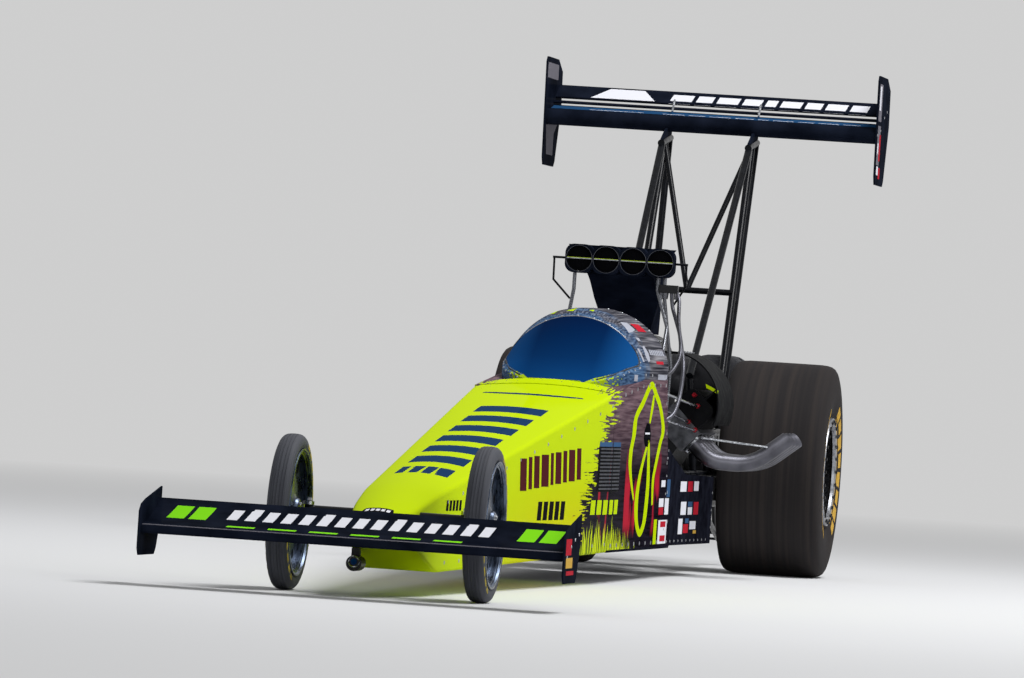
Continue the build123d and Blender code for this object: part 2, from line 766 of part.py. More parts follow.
shaft_reach = 290
with BuildPart() as throttle_linkage:
    shaft_ends = [place(side * shaft_reach, blade_station, throat_z) for side in (-1, 1)]
    tube(*shaft_ends, throttle_shaft)
    for side in (-1, 1):
        bent_tube(
            [
                place(side * (shaft_reach - 6), blade_station, throat_z),
                place(side * (shaft_reach - 6), blade_station + 10, 1235),
                place(side * 225, blade_station + 120, 1160),
            ],
            9,
        )
throttle_linkage.part.label = "throttle_linkage"
export_step(throttle_linkage.part, "parts/throttle_linkage.step")

with BuildPart() as magnetos:
    for x in (-150, 150):
        tube(place(x, engine_front - 150, 600), place(x, engine_front - fit_gap, 600), 90)
magnetos.part.label = "magnetos"
export_step(magnetos.part, "parts/magnetos.step")

bell_front = engine_rear + fit_gap
bell_rear = -720
with BuildPart() as bell_housing:
    tube(place(0, bell_front, crank_z), place(0, bell_rear, crank_z), 370)
    tube(place(0, bell_rear, crank_z), place(0, coupler_front, crank_z), 220)
    tube(place(0, coupler_front, crank_z), place(0, snout_station - fit_gap, crank_z), coupler_diameter)
bell_housing.part.label = "bell_housing"
export_step(bell_housing.part, "parts/bell_housing.step")

# Exhaust: eight separate pipes that run out, sweep back and turn up.
port_pitch = 122
port_front = engine_front + 90
pipe_diameter = 70
pipe_bend = 150
port_up_bank = deck_height + head_height / 2
port_face = 94 + fit_gap
port_x, port_z = bank_place(port_up_bank, port_face)
with BuildPart() as headers:
    for i in range(4):
        port = port_front + i * port_pitch
        route = [(port_x, 0, port_z), (port_x + 75, 0, port_z - 75), (565, 50, 496), (703, 140, 615)]
        with BuildLine() as run:
            FilletPolyline(*[place(x, port + back, z) for x, back, z in route], radius=pipe_bend)
        with BuildSketch(Plane(run.line @ 0, z_dir=run.line % 0)) as bore:
            Circle(pipe_diameter / 2)
        sweep(bore.sketch, path=run.line)
    mirror(about=Plane.YZ)
headers.part.label = "headers"
export_step(headers.part, "parts/headers.step")

hat_underside = throat_z - throat_radius - 7
with BuildPart() as fuel_lines:
    for side in (-1, 1):
        route = [
            (194, -1875, hat_underside - fit_gap),
            (194, -1875, 1200),
            (238, -1855, 900),
            (bay_x, -1760, 560),
            (bay_x, -1760, rail_top_z + frame_tube / 2 + fit_gap),
        ]
        bent_tube([place(side * x, station, z) for x, station, z in route], 16)
    behind_seat = firewall_station + wall / 2 + fit_gap
    route = [
        (165, -1875, hat_underside - fit_gap),
        (165, -1875, 1215),
        (222, -1925, 1060),
        (226, -2080, 905),
        (205, -2230, 872),
        (205, behind_seat, 872),
    ]
    bent_tube([place(x, station, z) for x, station, z in route], 16)
fuel_lines.part.label = "fuel_lines"
export_step(fuel_lines.part, "parts/fuel_lines.step")

# Engine skirts close the frame's sides below the exhaust.
skirt_wall = 6
skirt_rear = -920
skirt_rear_half = 340
skirt_top = 560
skirt_gap = 0.6
panel_slope = (tub_rear - canopy_rear) / (sill[-1][1] - wall - belly_top)
skirt_front = tub_rear - panel_slope * (skirt_top - belly_top) + skirt_gap
skirt_outline = [
    (tub_rear + skirt_gap, belly_top),
    (skirt_rear, belly_top),
    (skirt_rear, 430),
    (-1670, 440),
    (skirt_front, skirt_top),
]
with BuildPart() as engine_skirts:
    plate(along(300), skirt_outline, 200)
    with BuildSketch(above(0)) as strip:
        with BuildLine():
            Polyline(
                (tub_half(skirt_front), skirt_front),
                (tub_half(tub_rear), tub_rear),
                (skirt_rear_half, skirt_rear),
                (skirt_rear_half - skirt_wall, skirt_rear),
                (tub_half(tub_rear) - skirt_wall, tub_rear),
                (tub_half(skirt_front) - skirt_wall, skirt_front),
                close=True,
            )
        make_face()
    extrude(strip.sketch, amount=1000, mode=Mode.INTERSECT)
    for station, reach in ((-1670, 310), (-1070, 332)):
        inner = bay_x + frame_tube / 2 + fit_gap
        with Locations(place((inner + reach) / 2, station, rail_bottom_z)):
            Box(reach - inner, 30, 6)
    mirror(about=Plane.YZ)
engine_skirts.part.label = "engine_skirts"
export_step(engine_skirts.part, "parts/engine_skirts.step")

# Front wing: one plane ahead of the nose, on two arms that end inside it, with an endplate at each tip.
front_wing_half = 748
wing_arm_x = 60
wing_arm_wall = 10
front_tip = front_axle - front_overhang
with BuildPart() as front_wing:
    with BuildSketch(along(0, front_tip)) as profile:
        with BuildLine():
            ThreePointArc((40, 184), (24, 200), (40, 216))
            ThreePointArc((40, 216), (200, 244), (372, 306))
            Line((372, 306), (372, 299))
            ThreePointArc((372, 299), (200, 222), (40, 184))
        make_face()
    extrude(profile.sketch, amount=front_wing_half, both=True)
    nose_tip = nose_sections[0][0] - fit_gap
    for side in (-1, 1):
        arm = [(nose_tip, 222), (nose_tip, 280), (front_tip + 340, 286), (front_tip + 180, 228)]
        plate(along(side * wing_arm_x), arm, wing_arm_wall)
front_wing.part.label = "front_wing"
export_step(front_wing.part, "parts/front_wing.step")

endplate_wall = 6
front_endplate = [
    (0, 262), (0, 132), (22, 106), (300, 106), (330, 130), (385, 235), (385, 346), (110, 304), (30, 286),
]
with BuildPart() as front_endplates:
    for side in (-1, 1):
        plate(along(side * (front_wing_half + endplate_wall / 2), front_tip), front_endplate, endplate_wall)
front_endplates.part.label = "front_endplates"
export_step(front_endplates.part, "parts/front_endplates.step")

pod_x = -100
pod_z = 112
pod_stem_top = 165.8
with BuildPart() as sensor_pod:
    tube(place(pod_x, front_axle - 60, pod_z), place(pod_x, front_axle + 40, pod_z), 56)
    with Locations(place(pod_x, front_axle - 20, (pod_z + pod_stem_top) / 2)):
        Box(30, 24, pod_stem_top - pod_z)
sensor_pod.part.label = "sensor_pod"
export_step(sensor_pod.part, "parts/sensor_pod.step")

# Wing stand. Each strut is (foot, top); the tops end on a bar under the wing's bracket.
strut_tube = 32
stand_x = 200
stand_bar = [(700, 1916), (1010, 1951)]
struts = [
    ((wing_post_top[0], wing_post_top[1], wing_post_top[2] + 13.2), (stand_x, 730, 1911)),
    ((bay_x, 30, bay_post_top + 25.2), (stand_x, 830, 1922)),
    ((tail_end[0] + 0.3, tail_end[1] + 5.9, tail_end[2] + 15.5), (stand_x, 980, 1939)),
]
crossbar = (397, 1250)
crossbar_half = 208
tray_z = 750
with BuildPart() as wing_stand:
    for side in (-1, 1):
        for (foot_x, foot_s, foot_z), (top_x, top_s, top_z) in struts:
            tube(place(side * foot_x, foot_s, foot_z), place(side * top_x, top_s, top_z), strut_tube)
        (front_s, front_z), (rear_s, rear_z) = stand_bar
        tube(place(side * stand_x, front_s, front_z), place(side * stand_x, rear_s, rear_z), strut_tube)
        tube(place(side * 196, 818, 1914), place(0, *crossbar), 25)
        tube(place(side * 183, 513, tray_z), place(side * 183, 980, tray_z), 25)
        tube(place(side * 178, 465, tail_end[2] + 60), place(side * 183, 900, tray_z), 25)
    tube(place(-crossbar_half, *crossbar), place(crossbar_half, *crossbar), 28)
    with Locations(place(0, 810, tray_z + 12)):
        Box(470, 400, 6)
wing_stand.part.label = "wing_stand"
export_step(wing_stand.part, "parts/wing_stand.step")

# Rear wing. Each plane is (nose place, nose radius, under place, tail place, over place).
wing_half = 762
wing_planes = [
    ((888, 2012), 37, (990, 2004), (1092, 2071), (990, 2055)),
    ((1080, 2086), 5, (1116, 2085), (1150, 2095), (1114, 2094)),
    ((1142, 2113), 7, (1202, 2128), (1252, 2170), (1196, 2146)),
]
tail_edge = 3
with BuildPart() as rear_wing:
    with BuildSketch(along(0)) as profile:
        for (nose_s, nose_z), radius, under, (tail_s, tail_z), over in wing_planes:
            with BuildLine():
                ThreePointArc((nose_s, nose_z - radius), (nose_s - radius, nose_z), (nose_s, nose_z + radius))
                ThreePointArc((nose_s, nose_z + radius), over, (tail_s, tail_z + tail_edge))
                Line((tail_s, tail_z + tail_edge), (tail_s, tail_z))
                ThreePointArc((tail_s, tail_z), under, (nose_s, nose_z - radius))
            make_face()
    extrude(profile.sketch, amount=wing_half, both=True)
    lift = strut_tube / 2 + 0.4
    (front_s, front_z), (rear_s, rear_z) = stand_bar
    for side in (-1, 1):
        bracket = [(front_s, front_z + lift), (rear_s, rear_z + lift), (rear_s, 2045), (896, 2005)]
        plate(along(side * stand_x), bracket, 12)
rear_wing.part.label = "rear_wing"
export_step(rear_wing.part, "parts/rear_wing.step")

rear_endplate_wall = 8
rear_endplate = [
    (862, 1825), (892, 1790), (1200, 1790), (1232, 1815),
    (1340, 2070), (1318, 2235), (1175, 2286), (845, 2286), (820, 2262),
]
with BuildPart() as rear_endplates:
    for side in (-1, 1):
        plate(along(side * (wing_half + rear_endplate_wall / 2)), rear_endplate, rear_endplate_wall)
rear_endplates.part.label = "rear_endplates"
export_step(rear_endplates.part, "parts/rear_endplates.step")

pack_size = (236, 400, 206)
pack_corner = 28
with BuildPart() as parachute_packs:
    for side in (-1, 1):
        with Locations(place(side * 128, 820, tray_z + 15 + fit_gap + pack_size[2] / 2)):
            Box(*pack_size)
    chamfer(parachute_packs.edges(), pack_corner)
parachute_packs.part.label = "parachute_packs"
export_step(parachute_packs.part, "parts/parachute_packs.step")

# Wheelie bar: two long bars with braces and a small wheel on each side.
wheelie_radius = 55
wheelie_station = tail_overhang - wheelie_radius
wheelie_z = 120
wheelie_bar_x = 105
wheelie_wheel_x = 142
wheelie_wheel_width = 36
wheelie_axle = 12
wheelie_cross = wheelie_station - 225
wheelie_cross_z = 155
with BuildPart() as wheelie_bar:
    for side in (-1, 1):
        low_seat = place(side * 150, tail_bend + 17.2, tail_low_z - 2.7)
        high_seat = place(side * 150, tail_end[1] + 13.8, tail_end[2] - 9.2)
        tube(low_seat, place(side * wheelie_bar_x, wheelie_station, wheelie_z), 25)
        tube(high_seat, place(side * 113, wheelie_cross, wheelie_cross_z), 20)
    across_bars = [place(side * wheelie_bar_x, wheelie_cross, wheelie_cross_z) for side in (-1, 1)]
    tube(*across_bars, 20)
    reach = wheelie_wheel_x + wheelie_wheel_width / 2 + 8
    tube(place(-reach, wheelie_station, wheelie_z), place(reach, wheelie_station, wheelie_z), wheelie_axle)
wheelie_bar.part.label = "wheelie_bar"
export_step(wheelie_bar.part, "parts/wheelie_bar.step")

for name, side in (("left", 1), ("right", -1)):
    with BuildPart() as wheel:
        disc(side * wheelie_wheel_x, wheelie_station, wheelie_z, wheelie_radius, wheelie_wheel_width)
        chamfer(wheel.edges(), 5)
        bore = wheelie_axle / 2 + fit_gap
        disc(side * wheelie_wheel_x, wheelie_station, wheelie_z, bore, 60, Mode.SUBTRACT)
    wheel.part.label = f"{name}_wheelie_wheel"
    export_step(wheel.part, f"parts/{name}_wheelie_wheel.step")
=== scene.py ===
"""Looks of a rail dragster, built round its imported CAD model, in metres and in the model's own frame."""

import math

import bmesh
import bpy
import numpy as np
from mathutils import Matrix, Vector
from mathutils.bvhtree import BVHTree


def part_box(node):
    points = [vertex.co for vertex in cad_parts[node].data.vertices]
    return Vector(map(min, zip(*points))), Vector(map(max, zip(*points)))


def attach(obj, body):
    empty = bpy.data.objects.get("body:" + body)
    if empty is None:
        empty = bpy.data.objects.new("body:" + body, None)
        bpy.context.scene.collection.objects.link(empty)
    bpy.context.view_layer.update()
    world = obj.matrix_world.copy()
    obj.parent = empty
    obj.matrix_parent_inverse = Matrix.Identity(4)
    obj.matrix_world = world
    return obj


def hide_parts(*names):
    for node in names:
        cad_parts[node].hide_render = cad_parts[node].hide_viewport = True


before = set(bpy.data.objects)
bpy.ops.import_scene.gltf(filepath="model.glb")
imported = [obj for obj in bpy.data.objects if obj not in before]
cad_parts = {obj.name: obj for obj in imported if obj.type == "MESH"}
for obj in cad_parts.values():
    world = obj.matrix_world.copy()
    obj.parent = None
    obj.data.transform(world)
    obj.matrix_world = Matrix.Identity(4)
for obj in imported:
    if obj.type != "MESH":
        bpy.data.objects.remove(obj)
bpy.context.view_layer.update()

MM = 0.001
AXLE_Y = sum(corner.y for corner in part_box("front_left_tyre")) / 2
HUB_Z = sum(corner.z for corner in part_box("front_left_tyre")) / 2
REAR_Y = sum(corner.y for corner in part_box("rear_tyres")) / 2
REAR_HUB_Z = sum(corner.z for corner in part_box("rear_tyres")) / 2
# The frame's axes point to the car's left, to its back and up.
LEFT, BACK, UP = AXES = (Vector((1, 0, 0)), Vector((0, 1, 0)), Vector((0, 0, 1)))
SIDES = (("left", 1), ("right", -1))


def at(x, station, z):
    """A place from its distance to the car's left, behind the front axle and above the ground."""
    return Vector((x, AXLE_Y + station, z))


# Materials


def rgb(code):
    """An sRGB hex colour as linear RGBA."""
    parts = [int(code[i : i + 2], 16) / 255 for i in (1, 3, 5)]
    return [p / 12.92 if p <= 0.04045 else ((p + 0.055) / 1.055) ** 2.4 for p in parts] + [1.0]


def add(tree, kind, inputs=None, stops=None, **settings):
    """Adds a node: settings are its own, inputs are its sockets' values or links, stops a ramp's colours."""
    node = tree.nodes.new(kind)
    for name, value in settings.items():
        setattr(node, name, value)
    for key, value in (inputs or {}).items():
        named = [s for s in node.inputs if s.name == key and s.enabled]
        socket = node.inputs[key] if isinstance(key, int) else named[0]
        if isinstance(value, bpy.types.Node):
            value = next(s for s in value.outputs if s.enabled)
        if isinstance(value, bpy.types.NodeSocket):
            tree.links.new(value, socket)
        else:
            socket.default_value = value
    for index, (place, code) in enumerate(stops or ()):
        ramp = node.color_ramp.elements
        stop = ramp[index] if index < 2 else ramp.new(place)
        stop.position, stop.color = place, rgb(code)
    return node


def finish(name, colour, roughness, metallic=0.0, **constants):
    """A new material with one shader: gives the material, its tree and the shader."""
    material = bpy.data.materials.new(name)
    material.use_nodes = True
    shader = material.node_tree.nodes["Principled BSDF"]
    values = {"Base Color": rgb(colour), "Roughness": roughness, "Metallic": metallic, **constants}
    for socket, value in values.items():
        shader.inputs[socket.replace("_", " ")].default_value = value
    return material, material.node_tree, shader


def grain(tree, place, scale, detail=2.0, shift=(0, 0, 0)):
    """A noise whose spots are about one unit across in a place that is scaled along its axes and shifted."""
    scaled = add(tree, "ShaderNodeMapping", {"Vector": place, "Location": shift, "Scale": scale})
    return add(tree, "ShaderNodeTexNoise", {"Vector": scaled, "Scale": 1.0, "Detail": detail})


def spots(tree, size, stretch=(1, 1, 1), detail=3.0):
    """A noise on the piece's own coordinates whose spots are size metres across, stretched along an axis."""
    place = add(tree, "ShaderNodeTexCoord").outputs["Object"]
    return grain(tree, place, [1 / (size * s) for s in stretch], detail)


# Where a noise reaches its first and its second colour.
NOISE_LOW, NOISE_HIGH = 0.35, 0.65


def varied(tree, shader, noise, colours, roughness, height=0.0):
    """Lets a noise lead the colour, the roughness and, in metres, the relief of a shader."""
    tones = add(tree, "ShaderNodeValToRGB", {"Fac": noise}, stops=list(zip((NOISE_LOW, NOISE_HIGH), colours)))
    span = {"From Min": NOISE_LOW, "From Max": NOISE_HIGH, "To Min": roughness[0], "To Max": roughness[1]}
    gloss = add(tree, "ShaderNodeMapRange", {"Value": noise, **span})
    tree.links.new(tones.outputs[0], shader.inputs["Base Color"])
    tree.links.new(gloss.outputs[0], shader.inputs["Roughness"])
    if height:
        relief = add(tree, "ShaderNodeBump", {"Height": noise, "Distance": height, "Strength": 1.0})
        tree.links.new(relief.outputs[0], shader.inputs["Normal"])


def plain_varied(name, colours, roughness, size, metallic=0.0, height=0.0, stretch=(1, 1, 1), **constants):
    """A finish whose only pattern is one noise."""
    material, tree, shader = finish(name, colours[0], roughness[0], metallic, **constants)
    varied(tree, shader, spots(tree, size, stretch), colours, roughness, height)
    return material


def measured(tree):
    """The piece's own coordinates, counted from the front axle, and the node that gives their parts."""
    origin = add(tree, "ShaderNodeTexCoord").outputs["Object"]
    place = add(tree, "ShaderNodeMapping", {"Vector": origin, "Location": (0, -AXLE_Y, 0)})
    return place, add(tree, "ShaderNodeSeparateXYZ", {"Vector": place})


# Black paint baked on chromoly tube: satin, with a faint ripple, so that round tubes show a soft highlight.
tube_paint = plain_varied(
    "satin_black_tube_enamel", ("#08090d", "#101217"), (0.26, 0.36), 0.03, height=0.0001, Coat_Weight=0.12,
    Specular_IOR_Level=0.06,
)
# Turned and milled aluminium: bright, with fine marks of the cutter and duller patches from handling.
machined = plain_varied("machined_aluminium", ("#7c7e84", "#a9abb0"), (0.28, 0.42), 0.02, 1.0, 0.00002)
# Bead-blasted castings of heads, manifold and firewall plate: mid grey, dull, a little uneven.
cast_grey = plain_varied("bead_blasted_aluminium", ("#4c4d52", "#6c6e74"), (0.42, 0.58), 0.03, 0.9, 0.0001)
# Black anodised castings: dark grey, slightly grainy from the sand, with soft edges of light.
cast_black = plain_varied("black_anodised_casting", ("#0d0e11", "#1b1c20"), (0.32, 0.55), 0.004, 0.35, 0.0002)
# Ground and polished steel: bright, with duller smears.
polished = plain_varied("polished_steel", ("#8d9096", "#c9ccd2"), (0.12, 0.28), 0.01, 1.0)
# Bent steel exhaust tube, dulled and darkened by heat.
header_steel = plain_varied(
    "heat_darkened_steel_tube", ("#46464c", "#6a6a72"), (0.36, 0.46), 0.12, 1.0, 0.00005, (1, 2, 1)
)
# Stainless braid over a hose: bright threads with dark gaps, about 1.6 mm apart.
braid, tree, shader = finish("stainless_hose_braid", "#8a8b90", 0.38, 0.9)
origin = add(tree, "ShaderNodeTexCoord").outputs["Object"]
light, dark = rgb("#8e9096"), rgb("#303238")
threads = add(tree, "ShaderNodeTexChecker", {"Vector": origin, "Scale": 1 / 0.0032, "Color1": light, "Color2": dark})
tree.links.new(threads.outputs["Color"], shader.inputs["Base Color"])
# Guard over the valve covers: dead black, so that only its thin edge shows.
guard_black = plain_varied("dull_black_sheet", ("#08090b", "#0f1013"), (0.6, 0.75), 0.04, Specular_IOR_Level=0.06)
# Moulded rubber of the blower belt: dull black.
belt_rubber = plain_varied("moulded_belt_rubber", ("#0b0b0c", "#161617"), (0.62, 0.8), 0.01, height=0.0002)
# Clear-coated black laminate of wings and hat: blue black, slightly wavy, with a faint sheen only.
wing_black = plain_varied(
    "clear_coated_black_laminate", ("#0c101a", "#171c29"), (0.34, 0.46), 0.12, height=0.0002, Specular_IOR_Level=0.0,
    Coat_Weight=0.015, Coat_Roughness=0.12,
)
# Satin black laminate of the floor and skirts, a little scuffed by dust.
skirt_black = plain_varied(
    "satin_black_laminate", ("#12131b", "#1f212b"), (0.5, 0.62), 0.06, height=0.0001, Specular_IOR_Level=0.0
)
# Front wheels: spun alloy whose deep steel blue is a painted reflection of dark ground.
front_rim_metal = plain_varied(
    "spun_alloy_painted_reflection", ("#2c3442", "#5d687a"), (0.24, 0.34), 0.05, 1.0, 0.00001, (0.2, 1, 1)
)
# Rear wheels: black anodised alloy, dark with soft highlights.
rear_rim_black = plain_varied("black_anodised_wheel", ("#0c0d10", "#191b1f"), (0.25, 0.4), 0.01, 0.6)
# Bare laminate of the seat's shell: black, half matt.
seat_shell = plain_varied("bare_laminate_seat", ("#0d0e10", "#1b1c1f"), (0.35, 0.5), 0.01, height=0.0001)
# Woven nylon of the packs: dull black, slightly rough.
pack_fabric = plain_varied("woven_nylon_pack", ("#101116", "#1d1e26"), (0.7, 0.9), 0.002, height=0.0003)
# Moulded urethane of the wheelie bar's wheels: dark grey, half matt.
wheel_plastic = plain_varied("moulded_urethane_wheel", ("#15161a", "#24262b"), (0.4, 0.6), 0.01)
# Woven nylon webbing of the packs' straps: dark grey, its ribs about 2 mm apart.
webbing = plain_varied("nylon_webbing", ("#23252c", "#31343d"), (0.6, 0.8), 0.002, height=0.0004, stretch=(8, 1, 8))
# Quilted flame-proof cloth of the seat's pads: black, soft, with a fine weave.
pad_cloth = plain_varied("quilted_pad_cloth", ("#15161b", "#22242b"), (0.75, 0.92), 0.0025, height=0.0002)
# Red anodised hose nuts: deep red metal, small and bright.
anodised_red = plain_varied("red_anodised_aluminium", ("#8e1420", "#c02230"), (0.25, 0.4), 0.01, 0.8)
# Front tyre rubber: grey tread worn dull in faint rings round the wheel.
tyre_rubber = plain_varied(
    "worn_front_tyre_rubber", ("#3c3e45", "#4d4f56"), (0.6, 0.8), 0.005, height=0.0001, stretch=(1, 60, 60),
    Specular_IOR_Level=0.2,
)
# Slick rubber: brown grey from the track's dust and glue, in faint rings round the wheel.
slick_rubber, tree, shader = finish("dusty_slick_rubber", "#2e2b2c", 0.75, Specular_IOR_Level=0.04)
varied(tree, shader, spots(tree, 0.02, (1, 60, 60), 4.0), ("#2a2829", "#363231"), (0.65, 0.85), 0.00005)
# Painted shade: holes, louvre grounds, throats and grilles hold nearly no light, and this near black stands for their
# shade.
painted_shade_black = plain_varied("painted_shade_opening", ("#050508", "#0a0a0f"), (0.7, 0.9), 0.02, Specular_IOR_Level=0.05)
# Pressed louvre blades: satin black with bluish upper edges.
louvre_black = plain_varied("satin_black_louvre", ("#1a1d28", "#2b303d"), (0.4, 0.55), 0.03, Specular_IOR_Level=0.2)

# Body paint: fluorescent lime that ends in dry brush strokes on a dark purple brown, with hardly any gloss.
body_paint, tree, shader = finish(
    "lacquered_lime_and_plum_paint", "#c3d80a", 0.35, Specular_IOR_Level=0.0, Coat_Weight=0.05, Coat_Roughness=0.08
)
place, parts = measured(tree)
station, height = parts.outputs["Y"], parts.outputs["Z"]
# Brush strokes lie along the car, 10 mm high and some 0.3 m long.
strokes = grain(tree, place, (105, 3.4, 105), 4.0)
edge = add(
    tree,
    "ShaderNodeMapRange",
    {"Value": height, "From Min": 0.145, "From Max": 0.79, "To Min": 2.95, "To Max": 3.80},
    clamp=False,
)
# On top the lime runs on along the middle of the deck, as far as the canopy's tip.
aside = add(tree, "ShaderNodeMath", {0: parts.outputs["X"]}, operation="ABSOLUTE")
middle = add(
    tree, "ShaderNodeMapRange", {"Value": aside, "From Min": 0.16, "From Max": 0.27, "To Min": 0.25, "To Max": 0.0}
)
edge = add(tree, "ShaderNodeMath", {0: edge, 1: middle}, operation="ADD")
beyond = add(tree, "ShaderNodeMath", {0: station, 1: edge}, operation="SUBTRACT")
pull = add(tree, "ShaderNodeMath", {0: strokes, 1: 0.5}, operation="SUBTRACT")
ragged = add(tree, "ShaderNodeMath", {0: pull, 1: 1.3, 2: beyond}, operation="MULTIPLY_ADD")
dark_share = add(tree, "ShaderNodeMapRange", {"Value": ragged, "From Min": -0.01, "From Max": 0.02})
# The lime turns more yellow low on the flanks and greener and paler on top of the nose.
low_side = add(
    tree, "ShaderNodeMapRange", {"Value": height, "From Min": 0.15, "From Max": 0.5, "To Min": 1.0, "To Max": 0.0}
)
rear_side = add(tree, "ShaderNodeMapRange", {"Value": station, "From Min": 0.8, "From Max": 2.6})
warm = add(tree, "ShaderNodeMath", {0: low_side, 1: rear_side}, operation="MULTIPLY")
lime = add(tree, "ShaderNodeMix", {"Factor": warm, "A": rgb("#bdd608"), "B": rgb("#c9c100")}, data_type="RGBA")
# The plum side: dull purple above, near black below, with thin scratches along the car.
scratch = grain(tree, place, (90, 3, 90), 4.0)
plum = add(tree, "ShaderNodeValToRGB", {"Fac": scratch}, stops=[(0.36, "#4c3a43"), (0.66, "#7a646b")])
near_black_low = add(tree, "ShaderNodeValToRGB", {"Fac": scratch}, stops=[(0.36, "#0f0e15"), (0.66, "#211d28")])
upward = add(tree, "ShaderNodeMapRange", {"Value": height, "From Min": 0.45, "From Max": 0.70})
side = add(tree, "ShaderNodeMix", {"Factor": upward, "A": near_black_low, "B": plum}, data_type="RGBA")
# Red flames of paint stand upright behind the louvres.
tongues = grain(tree, place, (1, 5.5, 2.2), shift=(0, 0.35, 0))
tongue_share = add(tree, "ShaderNodeMapRange", {"Value": tongues, "From Min": 0.54, "From Max": 0.6})
tongue_top = add(
    tree, "ShaderNodeMapRange", {"Value": height, "From Min": 0.4, "From Max": 0.56, "To Min": 1.0, "To Max": 0.0}
)
tongue_low = add(tree, "ShaderNodeMapRange", {"Value": height, "From Min": 0.18, "From Max": 0.24})
tongue_place = add(tree, "ShaderNodeMath", {0: tongue_top, 1: tongue_low}, operation="MULTIPLY")
reddened = add(tree, "ShaderNodeMath", {0: tongue_share, 1: tongue_place}, operation="MULTIPLY")
side = add(tree, "ShaderNodeMix", {"Factor": reddened, "A": side, "B": rgb("#ad2436")}, data_type="RGBA")
# Lime blades like grass stand on the lower edge of the plum side.
blades = grain(tree, place, (10, 52, 6))
blade_top = add(tree, "ShaderNodeMath", {0: blades, 1: 0.40, 2: 0.0}, operation="MULTIPLY_ADD")
blade_end = add(
    tree, "ShaderNodeMapRange", {"Value": station, "From Min": 3.9, "From Max": 4.9, "To Min": 0.0, "To Max": 0.16}
)
below = add(tree, "ShaderNodeMath", {0: blade_top, 1: blade_end}, operation="SUBTRACT")
under = add(tree, "ShaderNodeMath", {0: below, 1: height}, operation="SUBTRACT")
grass = add(tree, "ShaderNodeMapRange", {"Value": under, "From Min": 0.0, "From Max": 0.012})
green = add(tree, "ShaderNodeValToRGB", {"Fac": blades}, stops=[(0.38, "#6d8411"), (0.56, "#c4d613")])
side = add(tree, "ShaderNodeMix", {"Factor": grass, "A": side, "B": green}, data_type="RGBA")
paint = add(tree, "ShaderNodeMix", {"Factor": dark_share, "A": lime, "B": side}, data_type="RGBA")
tree.links.new(paint.outputs["Result"], shader.inputs["Base Color"])
# Orange peel of sprayed lacquer, waves of a few millimetres.
peel = add(tree, "ShaderNodeTexNoise", {"Vector": add(tree, "ShaderNodeTexCoord").outputs["Object"], "Scale": 220.0})
wavy = add(tree, "ShaderNodeBump", {"Height": peel, "Distance": 0.00015, "Strength": 0.5})
tree.links.new(wavy.outputs[0], shader.inputs["Normal"])

# Canopy laminate: lime at the tip in ragged strokes, then blue and dark grey with fine light streaks along it.
canopy_skin, tree, shader = finish(
    "streaked_canopy_laminate", "#3c5b81", 0.34, Specular_IOR_Level=0.0, Coat_Weight=0.05, Coat_Roughness=0.1
)
place, parts = measured(tree)
streaks = grain(tree, place, (120, 1.1, 120))
patches = grain(tree, place, (8, 9, 14), 3.0)
pull = add(tree, "ShaderNodeMath", {0: streaks, 1: 0.5}, operation="SUBTRACT")
torn = add(tree, "ShaderNodeMath", {0: pull, 1: 0.45, 2: parts.outputs["Y"]}, operation="MULTIPLY_ADD")
blue = add(tree, "ShaderNodeValToRGB", {"Fac": streaks}, stops=[(0.34, "#22395a"), (0.70, "#5a7a9f")])
greys = [(0.32, "#1d1e25"), (0.50, "#4d4d55"), (0.74, "#8f8e94")]
grey = add(tree, "ShaderNodeValToRGB", {"Fac": streaks}, stops=greys)
dusk = add(tree, "ShaderNodeMath", {0: patches, 1: 0.5}, operation="SUBTRACT")
dusk = add(tree, "ShaderNodeMath", {0: dusk, 1: 0.7, 2: parts.outputs["Y"]}, operation="MULTIPLY_ADD")
rearward = add(tree, "ShaderNodeMapRange", {"Value": dusk, "From Min": 4.52, "From Max": 4.72})
ground = add(tree, "ShaderNodeMix", {"Factor": rearward, "A": blue, "B": grey}, data_type="RGBA")
kept = add(tree, "ShaderNodeMapRange", {"Value": torn, "From Min": 4.115, "From Max": 4.13})
skin = add(tree, "ShaderNodeMix", {"Factor": kept, "A": rgb("#aac51c"), "B": ground}, data_type="RGBA")
tree.links.new(skin.outputs["Result"], shader.inputs["Base Color"])
# Tinted polycarbonate: deep blue and smooth, with hardly a reflection of its own; a painted reflection makes it lighter
# below and darker towards the top.
windscreen_tint, tree, shader = finish(
    "blue_tinted_polycarbonate", "#012753", 0.12, Specular_IOR_Level=0.0, Coat_Weight=0.02, Coat_Roughness=0.03
)
depth = add(tree, "ShaderNodeSeparateXYZ", {"Vector": add(tree, "ShaderNodeTexCoord").outputs["Object"]})
shade = add(tree, "ShaderNodeMapRange", {"Value": depth.outputs["Z"], "From Min": 0.82, "From Max": 1.06})
tint_and_painted_reflection = add(tree, "ShaderNodeValToRGB", {"Fac": shade}, stops=[(0.0, "#093a6e"), (0.35, "#042b58"), (1.0, "#00193f")])
# Towards both sides it turns to a clearer blue: painted light, standing for light inside that shows through the sheet.
aside = add(tree, "ShaderNodeMath", {0: depth.outputs["X"]}, operation="ABSOLUTE")
clear = add(tree, "ShaderNodeMapRange", {"Value": aside, "From Min": 0.13, "From Max": 0.27, "To Max": 0.8})
sheet_colour = add(tree, "ShaderNodeMix", {"Factor": clear, "A": tint_and_painted_reflection, "B": rgb("#12518f")}, data_type="RGBA")
tree.links.new(sheet_colour.outputs["Result"], shader.inputs["Base Color"])
